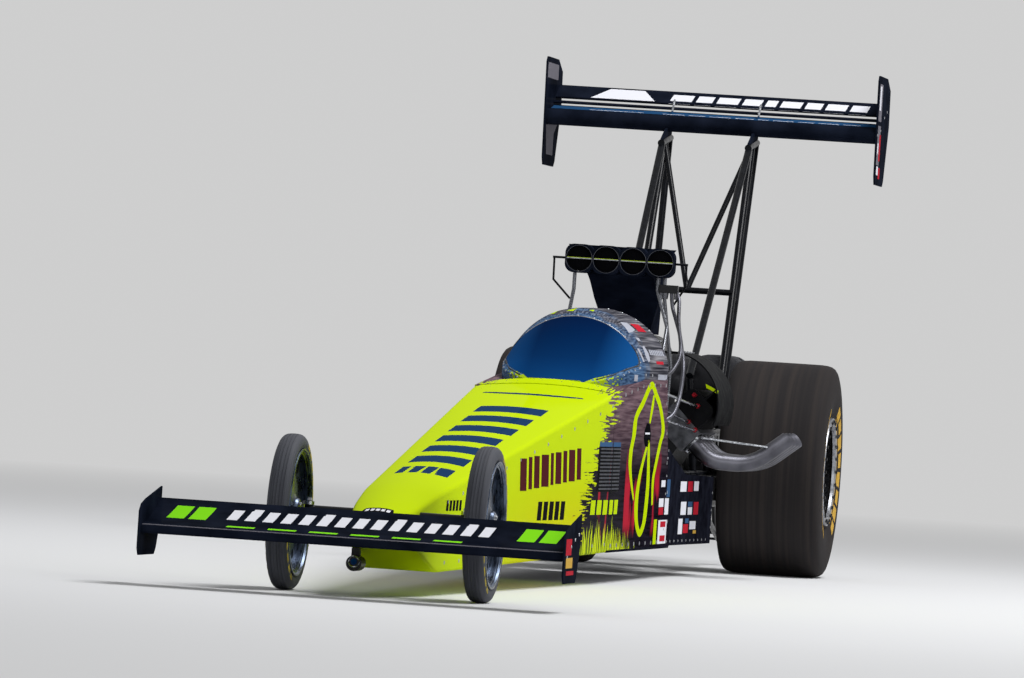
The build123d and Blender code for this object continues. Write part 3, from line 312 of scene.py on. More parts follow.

# Cut vinyl for bars and blank stickers: flat colour, half matt. Its grey and steel blue also serve as painted
# highlights and a painted reflection.
VINYL_COLOURS = {
    "navy": "#16365c",
    "black": "#101014",
    "lime": "#b9d40c",
    "green": "#7fd81c",
    "white": "#dfe0e8",
    "red": "#b32634",
    "blue": "#23486f",
    "pale": "#a5a8b4",
    "gold": "#c9a24a",
    "maroon": "#4b1a1f",
    "steel_blue": "#3b5a80",
    "grey": "#74727a",
    "yellow": "#c9b53c",
}
vinyl_and_painted_light = {
    name: plain_varied(f"cut_vinyl_{name}", (code, code), (0.4, 0.5), 0.05, Specular_IOR_Level=0.0, Coat_Weight=0.03)
    for name, code in VINYL_COLOURS.items()
}

CAD_FINISH = {
    body_paint: "nose_shell left_side_panel right_side_panel cockpit_deck",
    skirt_black: "belly_pan engine_skirts",
    cast_grey: "firewall cylinder_heads intake_manifold",
    tube_paint: "chassis_frame front_axle_beam wing_stand wheelie_bar throttle_linkage",
    guard_black: "valve_covers",
    seat_shell: "seat",
    cast_black: "steering_yoke sensor_pod engine_block supercharger magnetos bell_housing rear_end_housing",
    wing_black: "front_wing front_endplates injector_hat rear_wing rear_endplates",
    belt_rubber: "blower_drive",
    header_steel: "headers",
    braid: "fuel_lines",
    pack_fabric: "parachute_packs",
    canopy_skin: "canopy_shell",
    windscreen_tint: "windscreen",
    polished: "left_knuckle right_knuckle tie_rod rear_axle_shaft",
    front_rim_metal: "front_left_rim front_right_rim",
    rear_rim_black: "rear_rims",
    tyre_rubber: "front_left_tyre front_right_tyre rear_tyres",
    wheel_plastic: "left_wheelie_wheel right_wheelie_wheel",
}
for material, nodes in CAD_FINISH.items():
    for node in nodes.split():
        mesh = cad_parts[node].data
        mesh.materials.clear()
        mesh.materials.append(material)


# Shapes


def piece(name, mesh, material, body, replaces=(), sharp=35):
    """Makes an object of a mesh or bmesh, smooth but for edges over sharp degrees, riding on a body."""
    if isinstance(mesh, bmesh.types.BMesh):
        shape = bpy.data.meshes.new(name)
        mesh.to_mesh(shape)
        mesh.free()
        mesh = shape
    mesh.polygons.foreach_set("use_smooth", [True] * len(mesh.polygons))
    mesh.set_sharp_from_angle(angle=math.radians(sharp))
    mesh.materials.clear()
    mesh.materials.append(material)
    thing = bpy.data.objects.new(name, mesh)
    bpy.context.collection.objects.link(thing)
    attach(thing, body)
    if replaces:
        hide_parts(*replaces)
    return thing


def built(thing, *modifiers):
    """Gives the plain mesh of an object after these modifiers, each (type, settings), and deletes the object."""
    for kind, settings in modifiers:
        modifier = thing.modifiers.new(kind.lower(), kind)
        for name, value in settings.items():
            setattr(modifier, name, value)
    mesh = bpy.data.meshes.new_from_object(thing.evaluated_get(bpy.context.evaluated_depsgraph_get()))
    bpy.data.objects.remove(thing)
    return mesh


def loose(name, bm):
    """A bare object for modifiers, of a bmesh."""
    mesh = bpy.data.meshes.new(name)
    bm.to_mesh(mesh)
    bm.free()
    thing = bpy.data.objects.new(name, mesh)
    bpy.context.collection.objects.link(thing)
    return thing


def grid(bm, rows, wrap_rows=False, wrap_points=False):
    """Faces between rows of points of equal length."""
    made = [[bm.verts.new(point) for point in row] for row in rows]
    for i in range(len(made) - (not wrap_rows)):
        for j in range(len(made[0]) - (not wrap_points)):
            a, b = made[i], made[(i + 1) % len(made)]
            k = (j + 1) % len(made[0])
            bm.faces.new([a[j], a[k], b[k], b[j]])
    return made


def lathe(bm, profile, centre, segments=96):
    """Turns a closed profile of (distance to the left, radius) round an axle through centre."""
    rows = []
    for i in range(segments):
        angle = 2 * math.pi * i / segments
        rows.append([centre + Vector((x, r * math.sin(angle), r * math.cos(angle))) for x, r in profile])
    grid(bm, rows, wrap_rows=True, wrap_points=True)
    bmesh.ops.recalc_face_normals(bm, faces=bm.faces)


def smooth_rows(rows, stations):
    """Reads rows of (station, values...) at more stations, on smooth lines that never overshoot."""
    rows = np.array(rows, float)
    x, y = rows[:, 0], rows[:, 1:]
    span = np.diff(x)[:, None]
    slope = np.diff(y, axis=0) / span
    tangent = np.zeros_like(y)
    tangent[0], tangent[-1] = slope[0], slope[-1]
    product = slope[:-1] * slope[1:]
    total = np.where(np.abs(slope[:-1] + slope[1:]) < 1e-9, 1, slope[:-1] + slope[1:])
    tangent[1:-1] = np.where(product > 0, 2 * product / total, 0)
    at_row = np.clip(np.searchsorted(x, stations) - 1, 0, len(x) - 2)
    t = ((stations - x[at_row]) / span[at_row, 0])[:, None]
    h = span[at_row]
    return (
        (2 * t**3 - 3 * t**2 + 1) * y[at_row]
        + (t**3 - 2 * t**2 + t) * h * tangent[at_row]
        + (3 * t**2 - 2 * t**3) * y[at_row + 1]
        + (t**3 - t**2) * h * tangent[at_row + 1]
    )


def prism(bm, outline, axis, low, high):
    """A solid whose outline lies across an axis: (station, z) across X, (x, z) across Y, (x, station) across Z."""

    def place(a, b, depth):
        return (at(depth, a, b), at(a, depth, b), at(a, b, depth))[axis]

    ends = [[bm.verts.new(place(*p, depth)) for p in outline] for depth in (low, high)]
    for i in range(len(outline)):
        j = (i + 1) % len(outline)
        bm.faces.new([ends[0][i], ends[0][j], ends[1][j], ends[1][i]])
    for end in ends:
        bm.faces.new(end)
    bmesh.ops.recalc_face_normals(bm, faces=bm.faces)


# Nose: sections are (station, half width, bottom, shoulder, crown), smoothed along the car.

NOSE = [
    (-0.340, 0.085, 0.215, 0.262, 0.285),
    (0.000, 0.122, 0.165, 0.325, 0.350),
    (0.300, 0.140, 0.088, 0.372, 0.400),
    (3.750, 0.288, 0.130, 0.768, 0.790),
]
# Sizes of the bends along its shoulder and its lower edge, and the reach over which sections are evened out.
CREASE, CHINE, REACH = 0.016, 0.012, 0.06


def bent(start, corner, end, steps):
    """Points on a smooth turn from start to end round a corner."""
    start, corner, end = Vector(start), Vector(corner), Vector(end)
    shares = [k / steps for k in range(steps + 1)]
    return [(1 - t) ** 2 * start + 2 * t * (1 - t) * corner + t**2 * end for t in shares]


def nose_ring(station, shrink=0.0):
    """The nose's closed section at a station, from its middle underneath up its left side and round."""
    near = np.clip([station + share * REACH for share in (-1, -0.5, 0, 0.5, 1)], NOSE[0][0], NOSE[-1][0])
    half, bottom, shoulder, crown = (
        float(np.mean([np.interp(s, [r[0] for r in NOSE], [r[k] for r in NOSE]) for s in near])) for k in (1, 2, 3, 4)
    )
    half, bottom, shoulder, crown = half - shrink, bottom + shrink, shoulder - shrink, crown - shrink
    rise = crown - shoulder
    radius = (half**2 + rise**2) / (2 * rise)

    def roof(x):
        return crown - radius + math.sqrt(radius**2 - x * x)

    turn = half - CREASE
    left = bent((half - CHINE, bottom), (half, bottom), (half, bottom + CHINE), 4)
    left += bent((half, shoulder - CREASE), (half, roof(half)), (turn, roof(turn)), 10)
    left += [Vector((turn * (1 - k / 10), roof(turn * (1 - k / 10)))) for k in range(1, 11)]
    ring = [Vector((0, bottom))] + left + [Vector((-p.x, p.y)) for p in reversed(left[:-1])]
    return [at(p.x, station, p.y) for p in ring]


def boxed(bm, low, high):
    """Adds a block between two corners."""
    made = bmesh.ops.create_cube(bm, size=1.0)
    middle = (Vector(low) + Vector(high)) / 2
    span = Vector(high) - Vector(low)
    for vert in made["verts"]:
        vert.co = Vector(vert.co[k] * span[k] + middle[k] for k in range(3))


bm = bmesh.new()
stations = [-0.332, -0.32, -0.29] + list(np.linspace(-0.25, 0.5, 26)) + list(np.linspace(0.6, 3.749, 40))
rows = [nose_ring(-0.340, 0.009), nose_ring(-0.3385, 0.004)] + [nose_ring(s) for s in stations]
ends = grid(bm, rows, wrap_points=True)
for end in (ends[0], ends[-1]):
    bm.faces.new(end)
bmesh.ops.recalc_face_normals(bm, faces=bm.faces)
shell = loose("nose_form", bm)
# Openings for the axle beam and for the tie rod, which slides as the wheels steer.
bm = bmesh.new()
rod_low, rod_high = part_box("tie_rod")
boxed(bm, (-0.4, rod_low.y - 0.005, rod_low.z - 0.006), (0.4, rod_high.y + 0.005, rod_high.z + 0.006))
slot_form = loose("rod_slot", bm)
bm = bmesh.new()
lathe(bm, [(-0.4, 0.0001), (0.4, 0.0001), (0.4, 0.0292), (-0.4, 0.0292)], at(0, 0, HUB_Z), 32)
beam_form = loose("beam_hole", bm)
cuts = [
    ("BOOLEAN", {"operation": "DIFFERENCE", "object": form, "solver": "EXACT"}) for form in (slot_form, beam_form)
]
nose_mesh = built(shell, *cuts)
for form in (slot_form, beam_form):
    bpy.data.objects.remove(form)
piece("painted_nose", nose_mesh, body_paint, "chassis", ["nose_shell"], 40)


# Cowl: a painted crown that carries the nose's line up to the canopy's tip.

bm = bmesh.new()
rows = []
for station in np.linspace(3.752, 3.921, 8):
    share, half = (station - 3.75) / 0.171, 0.2865
    foot, crown = 0.7685 + 0.0135 * share, 0.7905 + 0.0215 * share
    rows.append([at(half * u, station, foot + (crown - foot) * (1 - u * u)) for u in np.linspace(1, -1, 33)])
grid(bm, rows)
for face in bm.faces:
    face.normal_update()
    if face.normal.z < 0:
        face.normal_flip()
cowl = built(loose("cowl_sheet", bm), ("SOLIDIFY", {"thickness": 0.003, "offset": -1.0}))
piece("painted_cowl", cowl, body_paint, "chassis", sharp=40)


# Canopy: sections are (station, half width, spring of the arch, top), smoothed along the car.

CANOPY = [
    (4.000, 0.095, 0.795, 0.808),
    (4.200, 0.241, 0.840, 0.918),
    (4.450, 0.280, 0.870, 1.045),
    (4.700, 0.289, 0.895, 1.112),
    (5.250, 0.297, 0.906, 1.120),
]
SILL = [(3.750, 0.7683), (4.600, 0.8323), (5.250, 0.8363)]
# The window's edge seen from the side: its lower line, its rear corner and its upright end.
WINDOW = [
    (3.900, 0.740), (3.990, 0.789), (4.084, 0.824), (4.166, 0.846), (4.304, 0.873), (4.532, 0.899), (4.532, 1.200),
    (3.900, 1.200),
]
CORNER_RADIUS = 0.075
ARCH_STEPS = 48


def arch(station):
    """The canopy's section at a station, from its left foot over the top to its right foot."""
    half, spring, top = smooth_rows(CANOPY, np.array([station]))[0]
    foot = np.interp(station, *zip(*SILL))
    rise = top - spring
    radius = (half**2 + rise**2) / (2 * rise)
    opening = math.asin(min(1, half / radius)) if rise < half else math.pi - math.asin(half / radius)
    section = [at(half, station, foot + (spring - foot) * t) for t in (0, 0.25, 0.5, 0.75)]
    for k in range(ARCH_STEPS + 1):
        angle = opening * (1 - 2 * k / ARCH_STEPS)
        section.append(at(radius * math.sin(angle), station, top - radius + radius * math.cos(angle)))
    return section + [at(-half, station, foot + (spring - foot) * t) for t in (0.75, 0.5, 0.25, 0)]


def canopy_sheet(name):
    """The canopy's outer skin, open below and at both ends."""
    bm = bmesh.new()
    stations = np.concatenate([np.linspace(4.0, 4.3, 20), np.linspace(4.32, 4.75, 20), np.linspace(4.8, 5.25, 12)])
    grid(bm, [arch(s) for s in stations])
    bmesh.ops.recalc_face_normals(bm, faces=bm.faces)
    if sum(f.normal.z for f in bm.faces) < 0:
        bmesh.ops.reverse_faces(bm, faces=bm.faces)
    return loose(name, bm)


def window_line(inset=0.0):
    """The window's outline from the side with its rear corner rounded, moved inwards by inset."""
    lower = [Vector(p) + Vector((0, inset)) for p in WINDOW[:5]]
    end = WINDOW[5][0] - inset
    corner = Vector((end, WINDOW[5][1] + inset))
    before = lower[-1] - corner
    turn = bent(corner + before.normalized() * CORNER_RADIUS, corner, corner + Vector((0, CORNER_RADIUS)), 8)
    return lower + turn + [Vector((end, 1.2)), Vector((3.9, 1.2))]


def window_block(name, inset):
    """A solid through the canopy with the window's outline."""
    bm = bmesh.new()
    prism(bm, window_line(inset), 0, -0.4, 0.4)
    return loose(name, bm)


outside, inside = window_block("window_cut", 0.0), window_block("window_keep", 0.0012)
shell, pane = (
    built(
        canopy_sheet(name),
        ("SOLIDIFY", {"thickness": 0.006, "offset": -1.0}),
        ("BOOLEAN", {"operation": operation, "object": form, "solver": "FAST"}),
    )
    for name, operation, form in (("canopy_skin", "DIFFERENCE", outside), ("window_skin", "INTERSECT", inside))
)
for form in (outside, inside):
    bpy.data.objects.remove(form)
bm = bmesh.new()
bm.from_mesh(shell)
lug = [(3.926, 0.800), (3.946, 0.791), (4.006, 0.797), (4.006, 0.806), (3.946, 0.809)]
for x in (-0.07, 0.07):
    prism(bm, lug, 0, x - 0.008, x + 0.008)
# The chin is a lip that covers the lugs and swings with the canopy.
chin = [(3.947, 0.8096), (3.975, 0.8092), (4.006, 0.8062), (4.006, 0.8092), (3.975, 0.8118), (3.947, 0.8122)]
prism(bm, chin, 0, -0.104, 0.104)
piece("streaked_canopy", bm, canopy_skin, "canopy", ["canopy_shell"], 30)
piece("tinted_window", pane, windscreen_tint, "canopy", ["windscreen"], 30)


# Films, fasteners and pipes


def skin_of(*names, side=0):
    """A search tree of the surfaces of CAD nodes or finished pieces, or of what lies on one side of the car."""
    bm = bmesh.new()
    for name in names:
        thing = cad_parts.get(name) or bpy.data.objects[name]
        bm.from_mesh(thing.data)
    if side:
        bmesh.ops.delete(bm, geom=[v for v in bm.verts if v.co.x * side < 0], context="VERTS")
    found = BVHTree.FromBMesh(bm)
    bm.free()
    return found


# How far out a line that presses something on starts along each axis.
OUTSIDE = (3, 12, 3)


def pressed(skin, axis, outward, a, b):
    """Where a line along an axis first meets a skin from outside, with the surface's outward direction there."""
    start = (at(0, a, b), at(a, 0, b), at(a, b, 0))[axis]
    away = AXES[axis] * outward
    start = start - AXES[axis] * start[axis] + away * OUTSIDE[axis]
    spot, normal, _, _ = skin.ray_cast(start, -away)
    if spot is None:
        return None, None
    return spot, normal if normal.dot(away) > 0 else -normal


# Stations where the flanks change their direction.
KINKS = (3.7495, 3.7505, 5.25, 5.60)


def film(name, shapes, ground, material, lift=0.0006, wall=0.0004, step=0.03):
    """A thin closed film of flat shapes, each (points, faces), on a ground: (skin, axis, outward, body, slot)."""
    skin, axis, outward, body, slot = ground
    bm = bmesh.new()
    for points, faces in shapes:
        verts = [bm.verts.new((p[0], p[1], 0)) for p in points]
        for face in faces:
            bm.faces.new([verts[k] for k in face])
    bmesh.ops.triangulate(bm, faces=[f for f in bm.faces if len(f.verts) > 4])
    for k in (0, 1):
        low, high = min(v.co[k] for v in bm.verts), max(v.co[k] for v in bm.verts)
        bends = [s for s in KINKS if axis != 1 and k == axis // 2 and low < s < high]
        for cut in list(np.arange(low + step, high, step)) + bends:
            place = Vector((0, 0, 0))
            place[k] = cut
            geometry = bm.verts[:] + bm.edges[:] + bm.faces[:]
            bmesh.ops.bisect_plane(bm, geom=geometry, plane_co=place, plane_no=AXES[k], dist=1e-6)
    missed = []
    for vert in bm.verts:
        spot, normal = pressed(skin, axis, outward, vert.co.x, vert.co.y)
        if spot is None:
            missed.append(vert)
        else:
            vert.co = spot + normal * lift
    bmesh.ops.delete(bm, geom=missed, context="VERTS")
    away = AXES[axis] * outward
    for face in bm.faces:
        face.normal_update()
        if face.normal.dot(away) < 0:
            face.normal_flip()
    mesh = built(loose(name, bm), ("SOLIDIFY", {"thickness": wall, "offset": -1.0}))
    return piece(name, mesh, material, body, sharp=30)


def patch(*points):
    """A filled outline."""
    return list(points), [tuple(range(len(points)))]


def block(a0, a1, b0, b1, lean=0.0):
    """A bar between two places along and two heights, leaning by a distance at its top."""
    return patch((a0, b0), (a1, b0), (a1 + lean, b1), (a0 + lean, b1))


STROKE_STEPS = 6


def stroke(points, width, height):
    """A brush stroke along a smooth line, from a nib this wide along and this high."""
    spine = [Vector(p) for p in points]
    spine = [spine[0] * 2 - spine[1], *spine, spine[-1] * 2 - spine[-2]]
    line = []
    for p0, p1, p2, p3 in zip(spine, spine[1:], spine[2:], spine[3:]):
        slope, bow, twist = p2 - p0, 2 * p0 - 5 * p1 + 4 * p2 - p3, 3 * p1 - p0 - 3 * p2 + p3
        shares = [k / STROKE_STEPS for k in range(STROKE_STEPS)]
        line += [0.5 * (2 * p1 + slope * t + bow * t**2 + twist * t**3) for t in shares]
    line.append(spine[-2])
    verts, total = [], len(line)
    for i, spot in enumerate(line):
        along = line[min(i + 1, total - 1)] - line[max(i - 1, 0)]
        across = Vector((-along.y, along.x)).normalized()
        taper = 0.25 + 0.75 * math.sin(math.pi * ((i + 0.5) / total)) ** 0.5
        offset = Vector((across.x * width / 2, across.y * height / 2)) * taper
        verts += [spot + offset, spot - offset]
    return verts, [(2 * i, 2 * i + 2, 2 * i + 3, 2 * i + 1) for i in range(total - 1)]


# Heads of bolts and quarter-turn fasteners: a bevelled disc on each point, turned to the point's facing.
HEAD_TAPER = 0.72
heads_tree = bpy.data.node_groups.new("heads_on_points", "GeometryNodeTree")
heads_tree.interface.new_socket("Points", in_out="INPUT", socket_type="NodeSocketGeometry")
HEAD_INPUTS = {
    name: heads_tree.interface.new_socket(name, in_out="INPUT", socket_type=kind).identifier
    for name, kind in (
        ("Head Radius", "NodeSocketFloat"),
        ("Head Height", "NodeSocketFloat"),
        ("Head Sides", "NodeSocketInt"),
        ("Finish", "NodeSocketMaterial"),
    )
}
heads_tree.interface.new_socket("Heads", in_out="OUTPUT", socket_type="NodeSocketGeometry")
given = add(heads_tree, "NodeGroupInput")
crown_radius = add(heads_tree, "ShaderNodeMath", {0: given.outputs["Head Radius"], 1: HEAD_TAPER}, operation="MULTIPLY")
head = add(
    heads_tree,
    "GeometryNodeMeshCone",
    {
        "Vertices": given.outputs["Head Sides"],
        "Radius Top": crown_radius,
        "Radius Bottom": given.outputs["Head Radius"],
        "Depth": given.outputs["Head Height"],
    },
)
facing = add(heads_tree, "GeometryNodeInputNamedAttribute", {"Name": "facing"}, data_type="FLOAT_VECTOR")
aimed = add(heads_tree, "FunctionNodeAlignRotationToVector", {"Vector": facing}, axis="Z")
seated = add(
    heads_tree,
    "GeometryNodeInstanceOnPoints",
    {"Points": given.outputs["Points"], "Instance": head.outputs["Mesh"], "Rotation": aimed},
)
real = add(heads_tree, "GeometryNodeRealizeInstances", {"Geometry": seated})
coated = add(heads_tree, "GeometryNodeSetMaterial", {"Geometry": real, "Material": given.outputs["Finish"]})
add(heads_tree, "NodeGroupOutput", {"Heads": coated})


def heads(name, spots, radius, height, material, body, sides=14):
    """Fastener heads at spots, each (place, facing)."""
    spots = [(p, f) for p, f in spots if p is not None]
    mesh = bpy.data.meshes.new(name)
    mesh.from_pydata([p for p, _ in spots], [], [])
    direction = mesh.attributes.new("facing", "FLOAT_VECTOR", "POINT")
    for k, (_, f) in enumerate(spots):
        direction.data[k].vector = f
    thing = bpy.data.objects.new(name, mesh)
    bpy.context.collection.objects.link(thing)
    modifier = thing.modifiers.new("heads", "NODES")
    modifier.node_group = heads_tree
    values = {"Head Radius": radius, "Head Height": height, "Head Sides": sides, "Finish": material}
    for key, value in values.items():
        modifier[HEAD_INPUTS[key]] = value
    return piece(name, built(thing), material, body, sharp=25)


def line_spots(skin, axis, outward, start, end, count):
    """Evenly spaced places on a skin, between two flat places."""
    return [
        pressed(skin, axis, outward, *(start[k] + (end[k] - start[k]) * i / (count - 1) for k in (0, 1)))
        for i in range(count)
    ]


def join(bm, part):
    """Adds the mesh of part to bm and frees part."""
    held = bpy.data.meshes.new("held")
    part.to_mesh(held)
    part.free()
    bm.from_mesh(held)
    bpy.data.meshes.remove(held)


def pipe(bm, points, radius, sides=12, inner=0.0, depth=0.06, reach=None):
    """A round tube along points, its corners turned with a reach, open to a depth at its end where inner is set."""
    points = [Vector(p) for p in points]
    line = [points[0]]
    for i in range(1, len(points) - 1):
        before, after = points[i - 1] - points[i], points[i + 1] - points[i]
        size = min(reach or 4 * radius, before.length * 0.48, after.length * 0.48)
        line += bent(points[i] + before.normalized() * size, points[i], points[i] + after.normalized() * size, 8)
    line.append(points[-1])
    along = (line[1] - line[0]).normalized()
    side = along.orthogonal().normalized()
    rings = []

    def ring(centre, along, side, r):
        up, angles = along.cross(side), [2 * math.pi * k / sides for k in range(sides)]
        return [centre + side * (r * math.cos(a)) + up * (r * math.sin(a)) for a in angles]

    for i, spot in enumerate(line):
        ahead = line[min(i + 1, len(line) - 1)] - line[max(i - 1, 0)]
        along = ahead.normalized()
        side = (side - along * side.dot(along)).normalized()
        rings.append(ring(spot, along, side, radius))
    if inner:
        rings.append(ring(line[-1], along, side, inner))
        rings.append(ring(line[-1] - along * depth, along, side, inner))
    before = set(bm.faces)
    made = grid(bm, rings, wrap_points=True)
    bm.faces.new(list(reversed(made[0])))
    bm.faces.new(made[-1])
    bmesh.ops.recalc_face_normals(bm, faces=[f for f in bm.faces if f not in before])


def pipes(name, routes, radius, material, body, slot, replaces=(), **settings):
    """Round tubes along several routes, as one piece."""
    bm = bmesh.new()
    for route in routes:
        pipe(bm, route, radius, **settings)
    return piece(name, bm, material, body, replaces, 35)


def turned(name, profile, centres, along, material, body, sides=32):
    """Bodies of revolution of (distance, radius) about one direction, each through a place."""
    bm = bmesh.new()
    spin = LEFT.rotation_difference(along).to_matrix()
    for middle in centres:
        fresh = bmesh.new()
        lathe(fresh, profile, Vector((0, 0, 0)), sides)
        bmesh.ops.remove_doubles(fresh, verts=fresh.verts, dist=1e-6)
        for vert in fresh.verts:
            vert.co = spin @ vert.co + middle
        join(bm, fresh)
    return piece(name, bm, material, body, sharp=30)


# Tyres and wheels. Profiles are (distance from the wheel's middle, radius) in millimetres, half a section.

FRONT_TYRE = [
    (0, 279.5), (4.5, 279.4), (5, 277.6), (8, 277.6), (8.5, 279.3), (15.5, 278.6), (16, 276.8), (19, 276.4),
    (19.5, 278), (24, 276.8), (30, 273.5), (35, 268), (38.4, 260), (39.8, 250), (38.6, 240), (35.5, 233), (34, 228),
]
REAR_TYRE = [
    (0, 475), (120, 475), (160, 474.6), (186, 472.4), (204, 467.5), (216, 460), (224, 448), (229, 430), (232.5, 405),
    (234.8, 375), (235, 348), (232.5, 318), (228, 292), (227.2, 290), (226.5, 286), (221, 262), (213, 240),
    (208, 228), (203, 215),
]
# Front barrel with its two flanges, and the spun disc that closes it.
FRONT_BARREL = [(41, 228), (41, 222), (30, 216), (28, 208), (-28, 208), (-30, 216), (-41, 222), (-41, 228), (-37, 229)]
FRONT_BARREL += [(-33, 216), (33, 216), (37, 229)]
FRONT_DISC = [
    (4, 207.5), (4, 150), (9, 120), (14, 70), (22, 52), (30, 50), (36, 44), (36, 0.2), (-36, 0.2), (-36, 44), (-30, 50),
    (-22, 52), (-14, 70), (-9, 120), (-4, 150), (-4, 207.5),
]


def ring_profile(half):
    """A closed section from half of one."""
    return [(x * MM, r * MM) for x, r in half] + [(-x * MM, r * MM) for x, r in reversed(half) if x > 0]


def round_spots(centre, radius, count, facing):
    """Places on a circle about an axle, all facing along it."""
    angles = [2 * math.pi * k / count for k in range(count)]
    return [(centre + Vector((0, radius * math.sin(a), radius * math.cos(a))), facing) for a in angles]


def arc_band(centre_z, inner, outer, start, end, steps=6, centre_s=0.0):
    """A flat band between two radii and two angles in degrees, round a middle at (centre_s, centre_z)."""
    points = []
    for k in range(steps + 1):
        a = math.radians(start + (end - start) * k / steps)
        points += [
            (centre_s + inner * math.sin(a), centre_z + inner * math.cos(a)),
            (centre_s + outer * math.sin(a), centre_z + outer * math.cos(a)),
        ]
    return points, [(2 * k, 2 * k + 1, 2 * k + 3, 2 * k + 2) for k in range(steps)]


FRONT_MIDDLE, REAR_MIDDLE = 0.354, 0.52
for side, sign in SIDES:
    name = f"front_{side}"
    centre, body = at(sign * FRONT_MIDDLE, 0, HUB_Z), f"{name}_wheel"
    barrel, disc = ([(x * MM, r * MM) for x, r in half] for half in (FRONT_BARREL, FRONT_DISC))
    for part, profile, segments, material, slot, replaced, sharp in (
        ("ribbed_tyre", ring_profile(FRONT_TYRE), 128, tyre_rubber, "tyre_rubber", [f"{name}_tyre"], 50),
        ("barrel", barrel, 96, front_rim_metal, "front_rim_metal", [f"{name}_rim"], 40),
        ("spun_disc", disc, 96, front_rim_metal, "front_rim_metal", (), 40),
    ):
        bm = bmesh.new()
        lathe(bm, profile, centre, segments)
        piece(f"{name}_{part}", bm, material, body, replaced, sharp)
    holes, nuts = [], []
    for face in (1, -1):
        holes += round_spots(centre + LEFT * face * 0.0045, 0.176, 12, LEFT * face)
        nuts += round_spots(centre + LEFT * face * 0.0365, 0.030, 5, LEFT * face)
    # The lightening holes are thin dark discs on the wheel: painted shade where the holes would be.
    heads(f"{name}_lightening_hole_painted_shade", holes, 0.017, 0.0012, painted_shade_black, body, 24)
    heads(f"{name}_hub_bolts", nuts, 0.0065, 0.007, polished, body, 6)
    skin = skin_of(f"{name}_ribbed_tyre")
    for face, edge in ((1, "outer"), (-1, "inner")):
        bands = []
        for first in (20, 200):
            bands += [arc_band(HUB_Z, 0.2445, 0.2585, first + 13 * k, first + 13 * k + 9, 3) for k in range(6)]
        film(f"{name}_{edge}_yellow_marks", bands, (skin, 0, face, body, "tyre_rubber"), vinyl_and_painted_light["yellow"], step=0.2)

bm = bmesh.new()
for _, face in SIDES:
    lathe(bm, ring_profile(REAR_TYRE), Vector((face * REAR_MIDDLE, REAR_Y, REAR_HUB_Z)), 160)
piece("slick_tyres", bm, slick_rubber, "rear_axle", ["rear_tyres"], 50)
REAR_STATION = REAR_Y - AXLE_Y
skin = skin_of("slick_tyres")
bands = []
for first in (-152, 28):
    bands += [
        arc_band(REAR_HUB_Z, 0.282 + 0.01 * (k % 2), 0.332, first + 15.5 * k, first + 15.5 * k + 12, 4, REAR_STATION)
        for k in range(8)
    ]
    bands.append(arc_band(REAR_HUB_Z, 0.266, 0.272, first, first + 120, 30, REAR_STATION))
ring = [
    (0.2165, 0.244), (0.2265, 0.241), (0.2275, 0.236), (0.2255, 0.214), (0.2235, 0.207), (0.2125, 0.205),
    (0.2085, 0.216), (0.2105, 0.231),
]
cap = [(-0.04, 0.0003), (0.055, 0.0003), (0.06, 0.02), (0.055, 0.034), (0.0, 0.046), (-0.01, 0.075), (-0.04, 0.075)]
ring_steel, ring_bolts = bmesh.new(), []
for side, face in SIDES:
    ground = (skin, 0, face, "rear_axle", "tyre_rubber")
    film(f"{side}_slick_gold_marks", bands, ground, vinyl_and_painted_light["gold"], 0.0012, 0.0008, 0.2)
    centre = Vector((face * REAR_MIDDLE, REAR_Y, REAR_HUB_Z))
    part = bmesh.new()
    lathe(part, [(face * x, r) for x, r in ring], centre, 120)
    join(ring_steel, part)
    ring_bolts += round_spots(centre + LEFT * face * 0.2285, 0.2245, 24, LEFT * face)
piece("bead_lock_rings", ring_steel, machined, "rear_axle", sharp=40)
heads("bead_lock_bolts", ring_bolts, 0.0095, 0.006, tube_paint, "rear_axle", 6)
for side, face in SIDES:
    middle = Vector((face * (REAR_MIDDLE + 0.09), REAR_Y, REAR_HUB_Z))
    turned(f"{side}_axle_cap", cap, [middle], LEFT * face, polished, "rear_axle")


# Flat colour marks: plain bars and one looped brush figure, cut from vinyl and pressed onto the panels.
# Some of these films are painted light and shade: in the louvres, on the front wing's edge and in the right rear
# endplate.

body_skin = skin_of(
    "painted_nose", "left_side_panel", "right_side_panel", "painted_cowl", "engine_skirts", "cockpit_deck"
)


def row(start, end, low, high, count, gap, lean=0.0):
    """A row of equal leaning bars."""
    pitch = (end - start) / count
    return [block(start + k * pitch, start + (k + 1) * pitch - gap, low, high, lean) for k in range(count)]


def on_body(outward, slot):
    """Where a mark on the car's body goes: on one side, or on top where outward is 0."""
    return (body_skin, 0, outward, "chassis", slot) if outward else (body_skin, 2, 1, "chassis", slot)


FLANK_BARS = ((1.82, 0.13), (1.99, 0.07), (2.10, 0.11), (2.25, 0.15), (2.44, 0.06), (2.54, 0.12), (2.70, 0.08))
FLANK_BARS += ((2.82, 0.13), (2.99, 0.09))
FLANK_RISE = 0.046 / 1.28
LOUVRE_PITCH, LOUVRE_HEIGHT = 0.0145, 0.0065
LEAF = [
    (4.44, 0.340), (4.36, 0.400), (4.30, 0.450), (4.27, 0.495), (4.28, 0.545), (4.33, 0.602), (4.37, 0.678),
    (4.54, 0.737), (4.76, 0.812), (4.93, 0.770), (5.07, 0.723), (5.20, 0.632), (5.13, 0.565), (5.04, 0.479),
    (4.99, 0.414), (5.01, 0.315),
]
DROP = [
    (4.79, 0.585), (4.68, 0.515), (4.57, 0.420), (4.53, 0.320), (4.58, 0.240), (4.69, 0.200), (4.79, 0.240),
    (4.83, 0.320), (4.84, 0.420), (4.81, 0.515), (4.79, 0.585),
]
SPIKE = [(4.86, 0.77), (4.83, 0.72), (4.78, 0.655)]
CORE = [
    (4.64, 0.625), (4.70, 0.655), (4.79, 0.650), (4.84, 0.61), (4.83, 0.58), (4.77, 0.555), (4.68, 0.56),
    (4.63, 0.59),
]
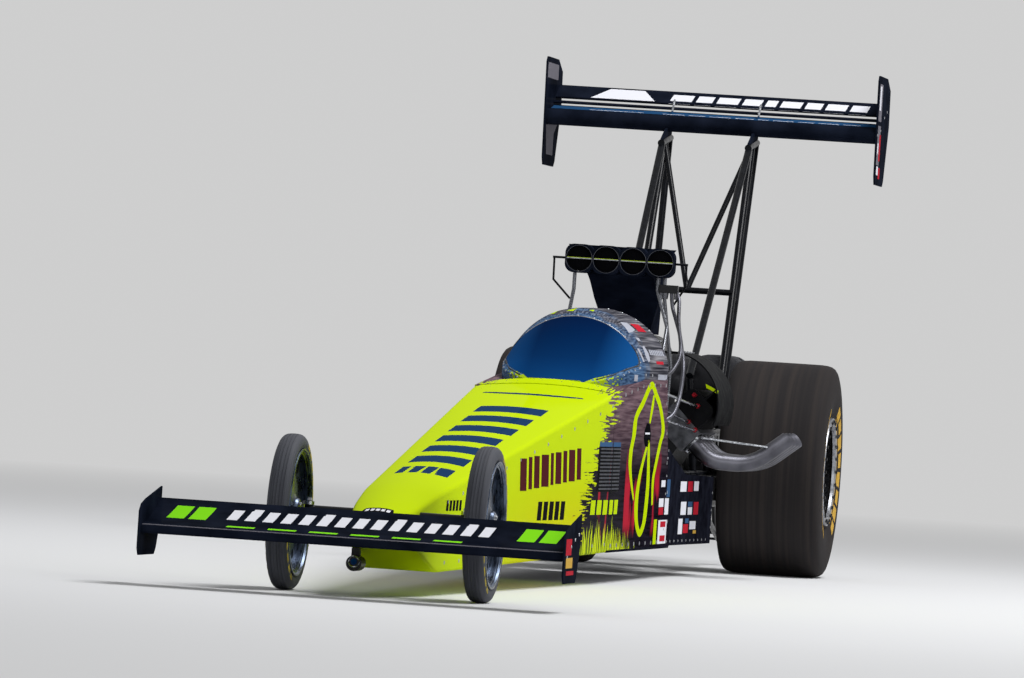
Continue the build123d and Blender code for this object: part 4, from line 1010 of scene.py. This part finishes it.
# Blank stickers on the side panel's end and on the skirt, as (front, rear, low, high).
STICKERS = {
    "white": [
        (5.26, 5.38, 0.389, 0.417), (5.22, 5.36, 0.305, 0.341), (5.40, 5.52, 0.272, 0.341), (5.24, 5.50, 0.150, 0.250),
        (5.82, 5.98, 0.367, 0.411), (6.18, 6.30, 0.370, 0.411), (5.86, 6.00, 0.268, 0.324), (6.05, 6.16, 0.268, 0.300),
        (5.82, 5.93, 0.186, 0.252), (6.12, 6.28, 0.205, 0.240),
    ],
    "red": [
        (5.22, 5.36, 0.272, 0.303), (5.30, 5.46, 0.160, 0.185), (5.30, 5.46, 0.220, 0.244), (6.02, 6.14, 0.367, 0.411),
        (5.95, 6.08, 0.190, 0.228), (6.20, 6.32, 0.268, 0.322),
    ],
    "steel_blue": [(5.44, 5.54, 0.346, 0.420), (6.05, 6.16, 0.303, 0.324), (6.00, 6.09, 0.232, 0.252)],
    "lime": [(5.10, 5.19, 0.150, 0.254)],
    "gold": [(6.22, 6.30, 0.186, 0.200)],
}
for side, outward in SIDES:
    nose_side, panel = on_body(outward, "nose_paint"), on_body(outward, "side_paint")
    bars = []
    for start, width in FLANK_BARS:
        rise = FLANK_RISE * (start - FLANK_BARS[0][0])
        bars.append(block(start, start + width, 0.382 + rise, 0.505 + rise, -0.03))
    film(f"{side}_dark_bars", bars, nose_side, vinyl_and_painted_light["maroon"], step=0.2)
    small = row(2.20, 2.80, 0.268, 0.340, 5, 0.035, 0.012) + row(0.42, 0.72, 0.312, 0.350, 5, 0.02, 0.006)
    film(f"{side}_small_bars", small, nose_side, vinyl_and_painted_light["black"], step=0.2)
    film(f"{side}_lime_bars", row(3.33, 4.02, 0.284, 0.342, 5, 0.04, 0.01), panel, vinyl_and_painted_light["lime"], step=0.04)
    # Louvres: a near-black film of painted shade for the recess, a blue lip over it that is a painted highlight, and
    # narrow blades that stand off the panel.
    film(f"{side}_louvre_painted_shade", [block(3.44, 3.97, 0.375, 0.556)], panel, painted_shade_black, step=0.04)
    film(f"{side}_louvre_lip_painted_highlight", [block(3.45, 3.96, 0.556, 0.574)], panel, vinyl_and_painted_light["steel_blue"], 0.002, 0.0014, 0.04)
    feet = [0.384 + LOUVRE_PITCH * k for k in range(12)]
    louvres = [block(3.46, 3.95, z, z + LOUVRE_HEIGHT) for z in feet]
    film(f"{side}_louvre_blades", louvres, panel, louvre_black, 0.005, 0.004, 0.04)
    figure = [stroke(LEAF, 0.115, 0.030), stroke(DROP, 0.11, 0.030), stroke(SPIKE, 0.075, 0.02)]
    film(f"{side}_looped_figure", figure, panel, vinyl_and_painted_light["lime"], step=0.25)
    film(f"{side}_figure_core", [patch(*CORE)], panel, vinyl_and_painted_light["black"], step=0.2)
    for colour, places in STICKERS.items():
        lift = 0.0012 if colour == "red" else 0.0008
        stickers = [block(*p) for p in places]
        film(f"{side}_stickers_{colour}", stickers, on_body(outward, "skirt_black"), vinyl_and_painted_light[colour], lift, step=0.3)

nose_top = on_body(0, "nose_paint")
bars = []
for k in range(7):
    half, front = 0.098 + 0.006 * k, 0.66 + 0.34 * k
    bars.append(block(0.006 - half, 0.006 + half, front, front + 0.20))
film("nose_top_bars", bars, nose_top, vinyl_and_painted_light["navy"], step=0.05)
line = stroke([(-0.20, 3.42), (-0.08, 3.36), (0.08, 3.36), (0.20, 3.42)], 0.03, 0.05)
film("nose_top_line", [line], nose_top, vinyl_and_painted_light["navy"], step=0.05)
tip = patch((-0.05, -0.30), (0.05, -0.30), (0.062, -0.24), (0.05, -0.17), (-0.05, -0.17), (-0.062, -0.24))
film("nose_tip_patch", [tip], nose_top, vinyl_and_painted_light["black"])
bars = [block(-0.045 + 0.019 * k, -0.032 + 0.019 * k, -0.225, -0.19) for k in range(5)]
film("nose_tip_bar", bars, (skin_of("nose_tip_patch"), *nose_top[1:]), vinyl_and_painted_light["white"])
for side, outward in SIDES:
    core = (skin_of(f"{side}_figure_core"), 0, outward, "chassis", "side_paint")
    film(f"{side}_core_line", [block(4.66, 4.80, 0.608, 0.616)], core, vinyl_and_painted_light["white"], step=0.2)

# Wings. Marks on them are pressed on from the front, in (distance to the left, height).
front_wing = (skin_of("front_wing"), 1, -1, "chassis", "wing_black")
bars = row(-0.480, 0.480, 0.246, 0.279, 15, 0.026, 0.010)
bars += [block(a, a + 0.034, 0.262, 0.285, 0.006) for a in (-0.405, -0.150, 0.105, 0.360)]
film("front_wing_white_bars", bars, front_wing, vinyl_and_painted_light["white"], step=0.012)
bars = [block(a, a + 0.062, 0.240, 0.282, 0.014) for a in (-0.690, -0.612, 0.556, 0.634)]
bars += [block(a, a + 0.10, 0.2225, 0.2265, 0.002) for a in np.arange(-0.46, 0.42, 0.147)]
film("front_wing_green_bars", bars, front_wing, vinyl_and_painted_light["green"], step=0.012)
# A thin grey line along the front wing's lower edge is a painted highlight.
film("front_wing_painted_edge_highlight", [block(-0.745, 0.745, 0.2140, 0.2164)], front_wing, vinyl_and_painted_light["grey"], step=0.02)
rear_wing = (skin_of("rear_wing"), 1, -1, "chassis", "wing_black")
film("rear_wing_blue_band", [block(-0.758, 0.758, 2.0540, 2.0700)], rear_wing, vinyl_and_painted_light["blue"], step=0.02)
widths = [0.10, 0.075, 0.10, 0.085, 0.05, 0.095, 0.075, 0.095, 0.08]
edges = np.cumsum([0] + [w + 0.02 for w in widths])
bars = [block(-0.235 + e, -0.235 + e + w, 2.112, 2.156, 0.012) for e, w in zip(edges, widths)]
bars.append(patch((-0.60, 2.118), (-0.30, 2.118), (-0.36, 2.166), (-0.52, 2.166)))
film("rear_wing_white_bars", bars, rear_wing, vinyl_and_painted_light["white"], step=0.015)
bars = [block(-0.240 + e, -0.240 + e + w, 2.0560, 2.0650, 0.002) for e, w in zip(edges, widths)]
bars.append(block(-0.58, -0.33, 2.056, 2.065))
film("rear_wing_low_white_bars", bars, rear_wing, vinyl_and_painted_light["white"], 0.0014, step=0.02)
plates = skin_of("rear_endplates")
for colour, places in {
    "grey": [(8.475, 8.60, 2.08, 2.25), (8.49, 8.60, 1.88, 2.06)],
    "white": [(8.49, 8.55, 2.13, 2.24), (8.51, 8.58, 1.835, 1.875), (8.50, 8.54, 1.93, 1.98)],
    "red": [(8.56, 8.62, 1.90, 2.02), (8.59, 8.66, 1.82, 1.87)],
}.items():
    ground, lift = (plates, 0, 1, "chassis", "wing_black"), 0.0006 if colour == "grey" else 0.0012
    film(f"left_endplate_{colour}_stickers", [block(*p) for p in places], ground, vinyl_and_painted_light[colour], lift, step=0.3)
# Painted reflection: grey films on the right rear endplate's inner face stand in for its sheen.
tint_and_painted_reflection = [patch((8.47, 1.88), (8.56, 1.84), (8.88, 1.84), (8.86, 1.99), (8.50, 1.99)), block(8.46, 8.80, 2.19, 2.26)]
ground = (skin_of("rear_endplates", side=-1), 0, 1, "chassis", "wing_black")
film("right_endplate_painted_reflection", tint_and_painted_reflection, ground, vinyl_and_painted_light["grey"], step=0.3)
low_plates = skin_of("front_endplates")
ground = (low_plates, 0, 1, "chassis", "wing_black")
reds = [block(-0.735, -0.60, 0.205, 0.262), block(-0.70, -0.52, 0.135, 0.150)]
film("front_endplate_red_sticker", reds, ground, vinyl_and_painted_light["red"], step=0.3)
film("front_endplate_gold_sticker", [block(-0.72, -0.56, 0.160, 0.196)], ground, vinyl_and_painted_light["gold"], step=0.3)

# Canopy stickers: blank, pale and red, and lime flecks on its top.
canopy_shape = skin_of("streaked_canopy")
ground = (canopy_shape, 0, 1, "canopy", "canopy_carbon")
stickers = [
    patch((4.62, 1.020), (4.80, 1.035), (4.80, 1.062), (4.66, 1.062)),
    block(4.66, 4.72, 0.990, 1.003),
    patch((4.66, 0.925), (4.69, 0.905), (4.74, 0.912), (4.76, 0.94), (4.73, 0.972), (4.68, 0.968)),
    *row(4.80, 5.20, 0.936, 0.957, 8, 0.014),
    block(4.575, 4.60, 0.905, 0.958),
    block(4.37, 4.43, 0.824, 0.850),
    block(4.96, 5.22, 0.836, 0.858),
]
film("canopy_white_stickers", stickers, ground, vinyl_and_painted_light["pale"], 0.001, step=0.016)
reds = [block(4.86, 5.08, 1.030, 1.060), block(4.90, 5.10, 0.900, 0.912)]
film("canopy_red_stickers", reds, ground, vinyl_and_painted_light["red"], 0.001, step=0.016)
flecks = [
    patch((-0.06, 4.62), (-0.03, 4.60), (-0.02, 4.66)),
    patch((-0.13, 4.64), (-0.11, 4.62), (-0.10, 4.68)),
    patch((0.03, 4.64), (0.05, 4.63), (0.05, 4.67)),
]
film("canopy_lime_flecks", flecks, (canopy_shape, 2, 1, "canopy", "canopy_carbon"), vinyl_and_painted_light["lime"], 0.001, step=0.016)


# Engine bay

PORTS = (6.100, 6.222, 6.344, 6.466)
PORT_X, PORT_Z = 0.3124, 0.579
header_line = ((PORT_X, 0, PORT_Z), (0.3874, 0, 0.504), (0.565, 0.05, 0.496), (0.703, 0.14, 0.615))
pipes(
    "bent_headers",
    [[at(side * x, s + back, z) for x, back, z in header_line] for side in (1, -1) for s in PORTS],
    0.035, header_steel, "chassis", "header_steel", ["headers"], sides=28, inner=0.0322, depth=0.16, reach=0.085,
)
flange_nuts = []
for name, side in SIDES:
    out = Vector((side, 0, -1)).normalized()
    up = BACK.cross(out)
    ports = [at(side * PORT_X, s, PORT_Z) for s in PORTS]
    flange = [(0.002, 0.034), (0.002, 0.052), (0.010, 0.052), (0.010, 0.0352)]
    turned(f"{name}_header_flanges", flange, ports, out, machined, "chassis")
    flange_nuts += [(port + out * 0.012 + up * 0.0435 * sign, out) for port in ports for sign in (1, -1)]
heads("header_flange_nuts", flange_nuts, 0.0075, 0.008, polished, "chassis", 6)

# Injector hat: thin bright rims on the throats, the plates that close them, near black as painted shade of the throats'
# inside, and their edges.
THROATS = [(k - 1.5) * 0.116 for k in range(4)]
THROAT_Z = 1.330
rims = [arc_band(THROAT_Z, 0.0552, 0.0566, 0, 360, 48, x) for x in THROATS]
hat = (skin_of("injector_hat"), 1, -1, "chassis", "wing_black")
film("throat_rims", rims, hat, cast_grey, 0.0003, 0.0003, 0.5)
bm, lime_bm = bmesh.new(), bmesh.new()
for x in THROATS:
    boxed(bm, at(x - 0.0535, 5.706, 1.3286), at(x + 0.0535, 5.716, 1.3322))
    boxed(lime_bm, at(x - 0.052, 5.7052, 1.3322), at(x + 0.052, 5.712, 1.3345))
piece("blade_edges", bm, polished, "chassis")
plate = [(0.0, 0.0003), (0.003, 0.0003), (0.003, 0.0532), (0.0, 0.0532)]
throats = [at(x, 5.728, THROAT_Z) for x in THROATS]
turned("throttle_plates_painted_shade", plate, throats, BACK, painted_shade_black, "chassis", 40)
piece("blade_lime_edges", lime_bm, vinyl_and_painted_light["lime"], "chassis")


# Fasteners on the engine's covers.


def held_on(skin, axis, outward, places):
    """Flat places pressed onto a skin, each with its facing."""
    return [pressed(skin, axis, outward, a, b) for a, b in places]


def oval(middle, wide, high, count):
    """Places round the car's middle at a height."""
    angles = [2 * math.pi * k / count for k in range(count)]
    return [(wide * math.cos(a), middle + high * math.sin(a)) for a in angles]


blower, covers = skin_of("supercharger"), skin_of("valve_covers")
bolts = [spot for x in (-0.118, 0.118) for spot in line_spots(blower, 2, 1, (x, 5.935), (x, 6.535), 9)]
for facing in (-1, 1):
    bolts += held_on(blower, 1, facing, oval(0.902, 0.118, 0.098, 14))
heads("blower_cover_bolts", bolts, 0.0065, 0.007, polished, "chassis", 6)
bolts = []
for outward in (1, -1):
    for node, z, count in (("cylinder_heads", 0.600, 7), ("engine_block", 0.230, 9), ("engine_block", 0.330, 6)):
        bolts += line_spots(skin_of(node), 0, outward, (6.05, z), (6.53, z), count)
heads("engine_side_bolts", bolts, 0.0075, 0.009, polished, "chassis", 6)
bolts = [spot for x in (0.235, -0.235) for spot in line_spots(covers, 2, 1, (x, 6.06), (x, 6.53), 6)]
heads("cover_bolts", bolts, 0.006, 0.007, polished, "chassis", 6)
bm = bmesh.new()
for side in (1, -1):
    tag = [(side * x, z) for x, z in ((0.362, 0.832), (0.418, 0.806), (0.416, 0.792), (0.366, 0.815))]
    prism(bm, tag, 1, 6.026, 6.032)
piece("guard_lime_tags", bm, vinyl_and_painted_light["lime"], "chassis")
bolts = held_on(skin_of("bell_housing"), 1, 1, oval(0.400, 0.172, 0.172, 20))
heads("bell_housing_bolts", bolts, 0.008, 0.009, polished, "chassis", 6)
bolts = held_on(skin_of("rear_end_housing"), 1, 1, oval(0.475, 0.125, 0.125, 16))
heads("rear_cover_bolts", bolts, 0.008, 0.009, polished, "chassis", 6)

# Hard lines of plain steel between the firewall and the heads, and anodised fittings on their ends.
firewall_skin = skin_of("firewall")
lines, unions, red_unions = [], [], []
for side in (1, -1):
    for start, end in (
        ((0.238, 0.790), (0.335, 0.735)),
        ((0.236, 0.683), (0.330, 0.632)),
        ((0.215, 0.735), (0.300, 0.665)),
    ):
        first, _ = pressed(firewall_skin, 1, 1, side * start[0], start[1])
        if first is None:
            continue
        last = at(side * end[0], 6.035, end[1])
        lines.append([first, first + BACK * 0.16, last - BACK * 0.10, last])
        unions.append((first + BACK * 0.012, BACK))
        red_unions.append((last - BACK * 0.02, -BACK))
pipes("fuel_hard_lines", lines, 0.006, polished, "chassis", "polished_steel", sides=10, reach=0.05)
heads("hard_line_nuts", unions, 0.012, 0.024, machined, "chassis", 6)
bay_skin = skin_of("valve_covers", "cylinder_heads", "intake_manifold", "supercharger", "engine_block")
for side in (1, -1):
    for x, z in ((0.288, 0.835), (0.322, 0.842), (0.318, 0.781)):
        spot, _ = pressed(bay_skin, 1, -1, side * x, z)
        if spot is not None and spot.y < at(0, 6.2, 0).y:
            red_unions.append((spot - BACK * 0.010, -BACK))
heads("red_line_nuts", red_unions, 0.012, 0.026, anodised_red, "chassis", 6)

# Two hard lines come down from the fuel block under the hat to the firewall, and stays reach the first headers.
bm = bmesh.new()
boxed(bm, at(0.173, 5.728, 1.206), at(0.253, 5.762, 1.240))
piece("fuel_blocks", bm, cast_black, "chassis")
unions = [(at(x, 5.745, 1.206), -UP) for x in (0.183, 0.203, 0.246)]
heads("fuel_block_unions", unions, 0.011, 0.026, machined, "chassis", 6)
descents = [
    [
        (0.246, 5.745, 1.215), (0.262, 5.735, 1.180), (0.279, 5.62, 1.084), (0.312, 5.50, 0.985), (0.318, 5.44, 0.930),
        (0.296, 5.35, 0.865), (0.268, 5.262, 0.845),
    ],
    [
        (0.225, 5.745, 1.215), (0.232, 5.745, 1.150), (0.290, 5.62, 1.03), (0.335, 5.46, 0.90), (0.336, 5.40, 0.78),
        (0.322, 5.33, 0.69), (0.270, 5.262, 0.655),
    ],
]
descents = [[at(*place) for place in line] for line in descents]
pipes("fuel_descents", descents, 0.0082, header_steel, "chassis", "polished_steel", sides=12, reach=0.05)
stays = [[at(side * 0.360, 6.050, 0.600), at(side * 0.628, 6.170, 0.578)] for side in (1, -1)]
pipes("header_stays", stays, 0.0045, polished, "chassis", "polished_steel", sides=8, reach=0.03)

# Sensor pod: a bright bezel with a dark glass.
lens_spot, _ = pressed(skin_of("sensor_pod"), 1, -1, -0.100, 0.118)
seat = lens_spot + BACK * 0.001
for name, profile, material in (
    ("pod_bezel", [(-0.004, 0.016), (-0.004, 0.0215), (0.002, 0.0215), (0.004, 0.0195), (0.002, 0.0165)], polished),
    (
        "pod_glass",
        [(-0.002, 0.0002), (0.003, 0.0002), (0.0015, 0.010), (-0.0005, 0.0168), (-0.002, 0.0168)],
        windscreen_tint,
    ),
):
    turned(name, profile, [seat], -BACK, material, "chassis")

# Fasteners on body, skirts and wings.
for side, outward in SIDES:
    places = []
    for s in np.arange(3.85, 5.24, 0.17):
        places += [(s, np.interp(s, *zip(*SILL)) - 0.022), (s, 0.158)]
    places += [(5.235 + 0.31 * t, 0.80 - 0.62 * t) for t in (0.1, 0.3, 0.5, 0.7, 0.9)]
    held = held_on(body_skin, 0, outward, places)
    heads(f"{side}_panel_fasteners", held, 0.0085, 0.0022, machined, "chassis", 16)
    places = []
    for s in np.arange(0.45, 3.7, 0.27):
        shoulder, bottom = (np.interp(s, [0.3, 3.75], ends) for ends in ([0.372, 0.768], [0.088, 0.130]))
        places += [(s, shoulder - 0.045), (s, bottom + 0.035)]
    held = held_on(body_skin, 0, outward, places)
    heads(f"{side}_nose_fasteners", held, 0.0075, 0.0018, machined, "chassis", 16)
    places = [(s, z) for z in (0.158, 0.542) for s in np.arange(5.42, 6.68, 0.105)]
    places += [(s, z) for s in (5.408, 6.688) for z in np.arange(0.21, 0.52, 0.075)]
    held = held_on(body_skin, 0, outward, places)
    heads(f"{side}_skirt_rivets", held, 0.0055, 0.002, machined, "chassis", 12)
    held = held_on(low_plates, 0, outward, ((-0.70, 0.200), (-0.61, 0.235), (-0.52, 0.258), (-0.43, 0.275)))
    places = [(8.37, 2.008), (8.48, 2.016), (8.60, 2.04), (8.73, 2.105), (8.83, 2.135), (8.46, 1.96), (8.52, 1.93)]
    held += held_on(plates, 0, outward, places)
    heads(f"{side}_wing_end_bolts", held, 0.0065, 0.002, polished, "chassis", 6)
# Adjuster rods stand before the rear wing's flap.
adjusters = [[at(x, 8.640, 2.072), at(x, 8.700, 2.128)] for x in (-0.2, 0.2)]
pipes("flap_adjusters", adjusters, 0.005, polished, "chassis", "polished_steel", sides=10)

# Window: bolts round its rim, black rubber below and a bright bead over the top.
rim_line = window_line(-0.013)[:-1]
bolts, trim = [], []
for outward in (1, -1):
    for k, p in enumerate(rim_line):
        if p.y < 1.0 and (k < 6 or k % 3 == 0):
            bolts.append(pressed(canopy_shape, 0, outward, p.x, p.y))
        if 0 < k < 6:
            bolts.append(pressed(canopy_shape, 0, outward, *((p + rim_line[k - 1]) / 2)))
    line = held_on(canopy_shape, 0, outward, window_line(-0.004)[1:-2])
    trim.append([spot for spot, _ in line if spot is not None])
bolts += held_on(canopy_shape, 2, 1, [(x, 4.548) for x in np.linspace(-0.2, 0.2, 7)])
heads("window_rim_bolts", bolts, 0.0048, 0.0022, polished, "canopy", 12)
pipes("window_rubber_trim", trim, 0.0035, belt_rubber, "canopy", "windscreen_tint", sides=8, reach=0.01)
over = [p for p in arch(4.5355) if p.z > 0.985]
pipes("window_bright_bead", [over], 0.0028, machined, "canopy", "canopy_carbon", sides=8, reach=0.004)
sill = [(s, 0.852) for s in (4.62, 4.80, 4.98, 5.16)]
edge = [spot for outward in (1, -1) for spot in held_on(canopy_shape, 0, outward, sill)]
edge += held_on(canopy_shape, 2, 1, [(x, 5.225) for x in np.linspace(-0.21, 0.21, 8)])
heads("canopy_fasteners", edge, 0.0065, 0.0022, machined, "canopy", 14)

# Front hubs: a bright nut on each kingpin.
for side, outward in SIDES:
    name = f"{side}_knuckle"
    spot, _ = pressed(skin_of(name), 2, 1, outward * 0.283, 0.0)
    nut = [(spot + UP * 0.002, UP)]
    heads(f"{side}_kingpin_nut", nut, 0.011, 0.010, machined, name, 6)


# Soft goods: both parachute packs and the seat's pads, filled by a short cloth simulation.


def cushion(bm, low, high, crown=0.0):
    """Adds a block with rounded edges between two corners, crowned on its top."""
    low, high = Vector(low), Vector(high)
    part = bmesh.new()
    boxed(part, low, high)
    bmesh.ops.subdivide_edges(part, edges=part.edges, cuts=7, use_grid_fill=True)
    middle, span = (low + high) / 2, (high - low) / 2
    for vert in part.verts:
        u = Vector((vert.co[k] - middle[k]) / span[k] for k in range(3))
        pull = [1 - 0.10 * (u[(k + 1) % 3] ** 4 + u[(k + 2) % 3] ** 4) / 2 for k in range(3)]
        vert.co = middle + Vector(u[k] * span[k] * pull[k] for k in range(3))
        vert.co.z += crown * (1 - u.x**2) * (1 - u.y**2) * max(0, u.z)
    join(bm, part)


PRESSURE, STEPS = 4.0, 20


def filled(name, bm, cap):
    """Swells a closed form as a sewn bag under pressure: no point moves farther than cap."""
    start = built(loose(name, bm), ("REMESH", {"mode": "VOXEL", "voxel_size": 0.006}))
    thing = bpy.data.objects.new(name, start)
    bpy.context.collection.objects.link(thing)
    before = np.empty(len(start.vertices) * 3)
    start.vertices.foreach_get("co", before)
    cloth = thing.modifiers.new("filling", "CLOTH")
    cloth.settings.use_pressure = True
    cloth.settings.uniform_pressure_force = PRESSURE
    cloth.settings.effector_weights.gravity = 0
    cloth.settings.quality = 4
    cloth.point_cache.frame_start, cloth.point_cache.frame_end = 1, STEPS
    for step in range(1, STEPS + 1):
        bpy.context.scene.frame_set(step)
    after = bpy.data.meshes.new_from_object(thing.evaluated_get(bpy.context.evaluated_depsgraph_get()))
    bpy.data.objects.remove(thing)
    bpy.context.scene.frame_set(1)
    swollen = np.empty(len(after.vertices) * 3)
    after.vertices.foreach_get("co", swollen)
    before, swollen = before.reshape(-1, 3), swollen.reshape(-1, 3)
    move = swollen - before
    length = np.linalg.norm(move, axis=1, keepdims=True)
    move *= np.minimum(1, cap / np.maximum(length, 1e-9))
    after.vertices.foreach_set("co", (before + move).ravel())
    return after


def soft(name, mesh, material, body, replaces):
    """A padded piece, smoothed once."""
    thing = bpy.data.objects.new(name, mesh)
    bpy.context.collection.objects.link(thing)
    mesh = built(thing, ("SUBSURF", {"levels": 1, "render_levels": 1}))
    thing = piece(name, mesh, material, body, replaces, 80)
    return thing


pack_low, pack_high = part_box("parachute_packs")
bm = bmesh.new()
inset = 0.009
for side in (1, -1):
    inner, outer = sorted((side * (0.010 + inset), side * (pack_high.x - inset)))
    low = (inner, pack_low.y + inset, pack_low.z + 0.004)
    cushion(bm, low, (outer, pack_high.y - inset, pack_high.z - inset - 0.006), 0.004)
soft("parachute_bags", filled("pack_forms", bm, 0.008), pack_fabric, "chassis", ["parachute_packs"])
bag_skin = skin_of("parachute_bags")
pack_station = (pack_low.y + pack_high.y) / 2 - AXLE_Y
strap_edges = [(s - 0.019, s + 0.019) for s in (pack_station - 0.11, pack_station + 0.11)]
straps = [block(*sorted((side * 0.030, side * 0.226)), *edges) for side in (1, -1) for edges in strap_edges]
side_straps = [block(*edges, pack_low.z + 0.02, pack_high.z - 0.03) for edges in strap_edges]
flaps = [block(*sorted((side * 0.045, side * 0.205)), 0.815, 0.905) for side in (1, -1)]
for name, shapes, axis, outward in (
    ("pack_top_straps", straps, 2, 1),
    ("left_pack_side_straps", side_straps, 0, 1),
    ("right_pack_side_straps", side_straps, 0, -1),
    ("pack_rear_flaps", flaps, 1, 1),
):
    film(name, shapes, (bag_skin, axis, outward, "chassis", "pack_fabric"), webbing, 0.0014, 0.0012, 0.02)
grommets = [pressed(bag_skin, 1, 1, side * x, 0.860) for side in (1, -1) for x in (0.075, 0.125, 0.175)]
heads("pack_grommets", grommets, 0.009, 0.006, machined, "chassis", 16)

# Seat pads: one on the floor of the shell and one that leans on its back.
bm = bmesh.new()
cushion(bm, at(-0.150, 4.745, 0.1745), at(0.150, 5.030, 0.220), 0.008)
cushion(bm, at(-0.145, 5.028, 0.262), at(0.145, 5.0635, 0.690))
for vert in bm.verts:
    if vert.co.z > 0.245:
        vert.co.y += (vert.co.z - 0.166) * 0.2237
soft("seat_pads", filled("pad_forms", bm, 0.007), pad_cloth, "chassis", [])
channels = [block(-0.135, 0.135, s, s + 0.006) for s in (4.82, 4.89, 4.96)]
ground = (skin_of("seat_pads"), 2, 1, "chassis", "seat_shell")
film("pad_channels", channels, ground, webbing, 0.0008, 0.0006, 0.02)


# Studio: pale floor, pale surround for the camera, one large lamp overhead and one from the front.

BACKDROP = 0.62


def looking(tree):
    """Gives 1 for rays from the camera, also by way of a reflection or a clear body, and 0 for others."""
    ray = add(tree, "ShaderNodeLightPath").outputs
    seen = add(tree, "ShaderNodeMath", {0: ray["Is Camera Ray"], 1: ray["Is Glossy Ray"]}, operation="MAXIMUM")
    return add(tree, "ShaderNodeMath", {0: seen, 1: ray["Is Transmission Ray"]}, operation="MAXIMUM")


ground = bpy.data.meshes.new("studio_floor")
ground.from_pydata([(-200, -200, 0), (200, -200, 0), (200, 200, 0), (-200, 200, 0)], [], [(0, 1, 2, 3)])
floor = bpy.data.objects.new("studio_floor", ground)
bpy.context.collection.objects.link(floor)
floor_paint, tree, shader = finish("pale_studio_floor", "#d9dadc", 0.9)
ground.materials.append(floor_paint)
far = add(tree, "ShaderNodeVectorMath", {0: add(tree, "ShaderNodeTexCoord").outputs["Object"]}, operation="LENGTH")
fade = add(tree, "ShaderNodeMapRange", {"Value": far.outputs["Value"], "From Min": 6.0, "From Max": 24.0})
share = add(tree, "ShaderNodeMath", {0: looking(tree), 1: fade}, operation="MULTIPLY")
glow = add(tree, "ShaderNodeEmission", {"Color": (1, 1, 1, 1), "Strength": BACKDROP})
both = add(tree, "ShaderNodeMixShader", {0: share, 1: shader, 2: glow})
tree.links.new(both.outputs[0], tree.nodes["Material Output"].inputs["Surface"])

world = bpy.data.worlds.new("studio_surround")
bpy.context.scene.world = world
world.use_nodes = True
tree = world.node_tree
tree.nodes.clear()
level = add(tree, "ShaderNodeMapRange", {"Value": looking(tree), "To Min": 0.36, "To Max": BACKDROP})
air = add(tree, "ShaderNodeBackground", {"Color": (1, 1, 1, 1), "Strength": level})
add(tree, "ShaderNodeOutputWorld", {"Surface": air})

for name, spot, size, power in (
    ("overhead_softbox", (6, 1, 13), 6, 1900),
    ("front_softbox", (9, -16, 5), 6, 500),
):
    lamp = bpy.data.lights.new(name, "AREA")
    lamp.size, lamp.energy = size, power
    holder = bpy.data.objects.new(name, lamp)
    holder.location = spot
    holder.rotation_euler = (Vector((0, 0, 0.4)) - Vector(spot)).to_track_quat("-Z", "Y").to_euler()
    bpy.context.collection.objects.link(holder)

# Camera: long lens from the front, a little to the car's left and low.
CAMERA_PLACE = (4.7586, -33.412, 0.8274)
CAMERA_YAW, CAMERA_PITCH, CAMERA_ROLL = 0.1474, 0.004, 0.0652
lens = bpy.data.cameras.new("photo_camera")
lens.sensor_width, lens.lens = 36.0, 292.49
lens.clip_end = 400
camera = bpy.data.objects.new("photo_camera", lens)
flat = math.cos(CAMERA_PITCH)
ahead = Vector((-math.sin(CAMERA_YAW) * flat, math.cos(CAMERA_YAW) * flat, math.sin(CAMERA_PITCH)))
level_right = Vector((math.cos(CAMERA_YAW), math.sin(CAMERA_YAW), 0))
level_up = level_right.cross(ahead)
turn = Matrix.Rotation(-CAMERA_ROLL, 3, ahead)
right, up = turn @ level_right, turn @ level_up
facing = Matrix((right, up, -ahead)).transposed().to_quaternion()
camera.matrix_world = Matrix.LocRotScale(Vector(CAMERA_PLACE), facing, None)
bpy.context.collection.objects.link(camera)
bpy.context.scene.camera = camera
bpy.context.scene.view_settings.view_transform = "Standard"
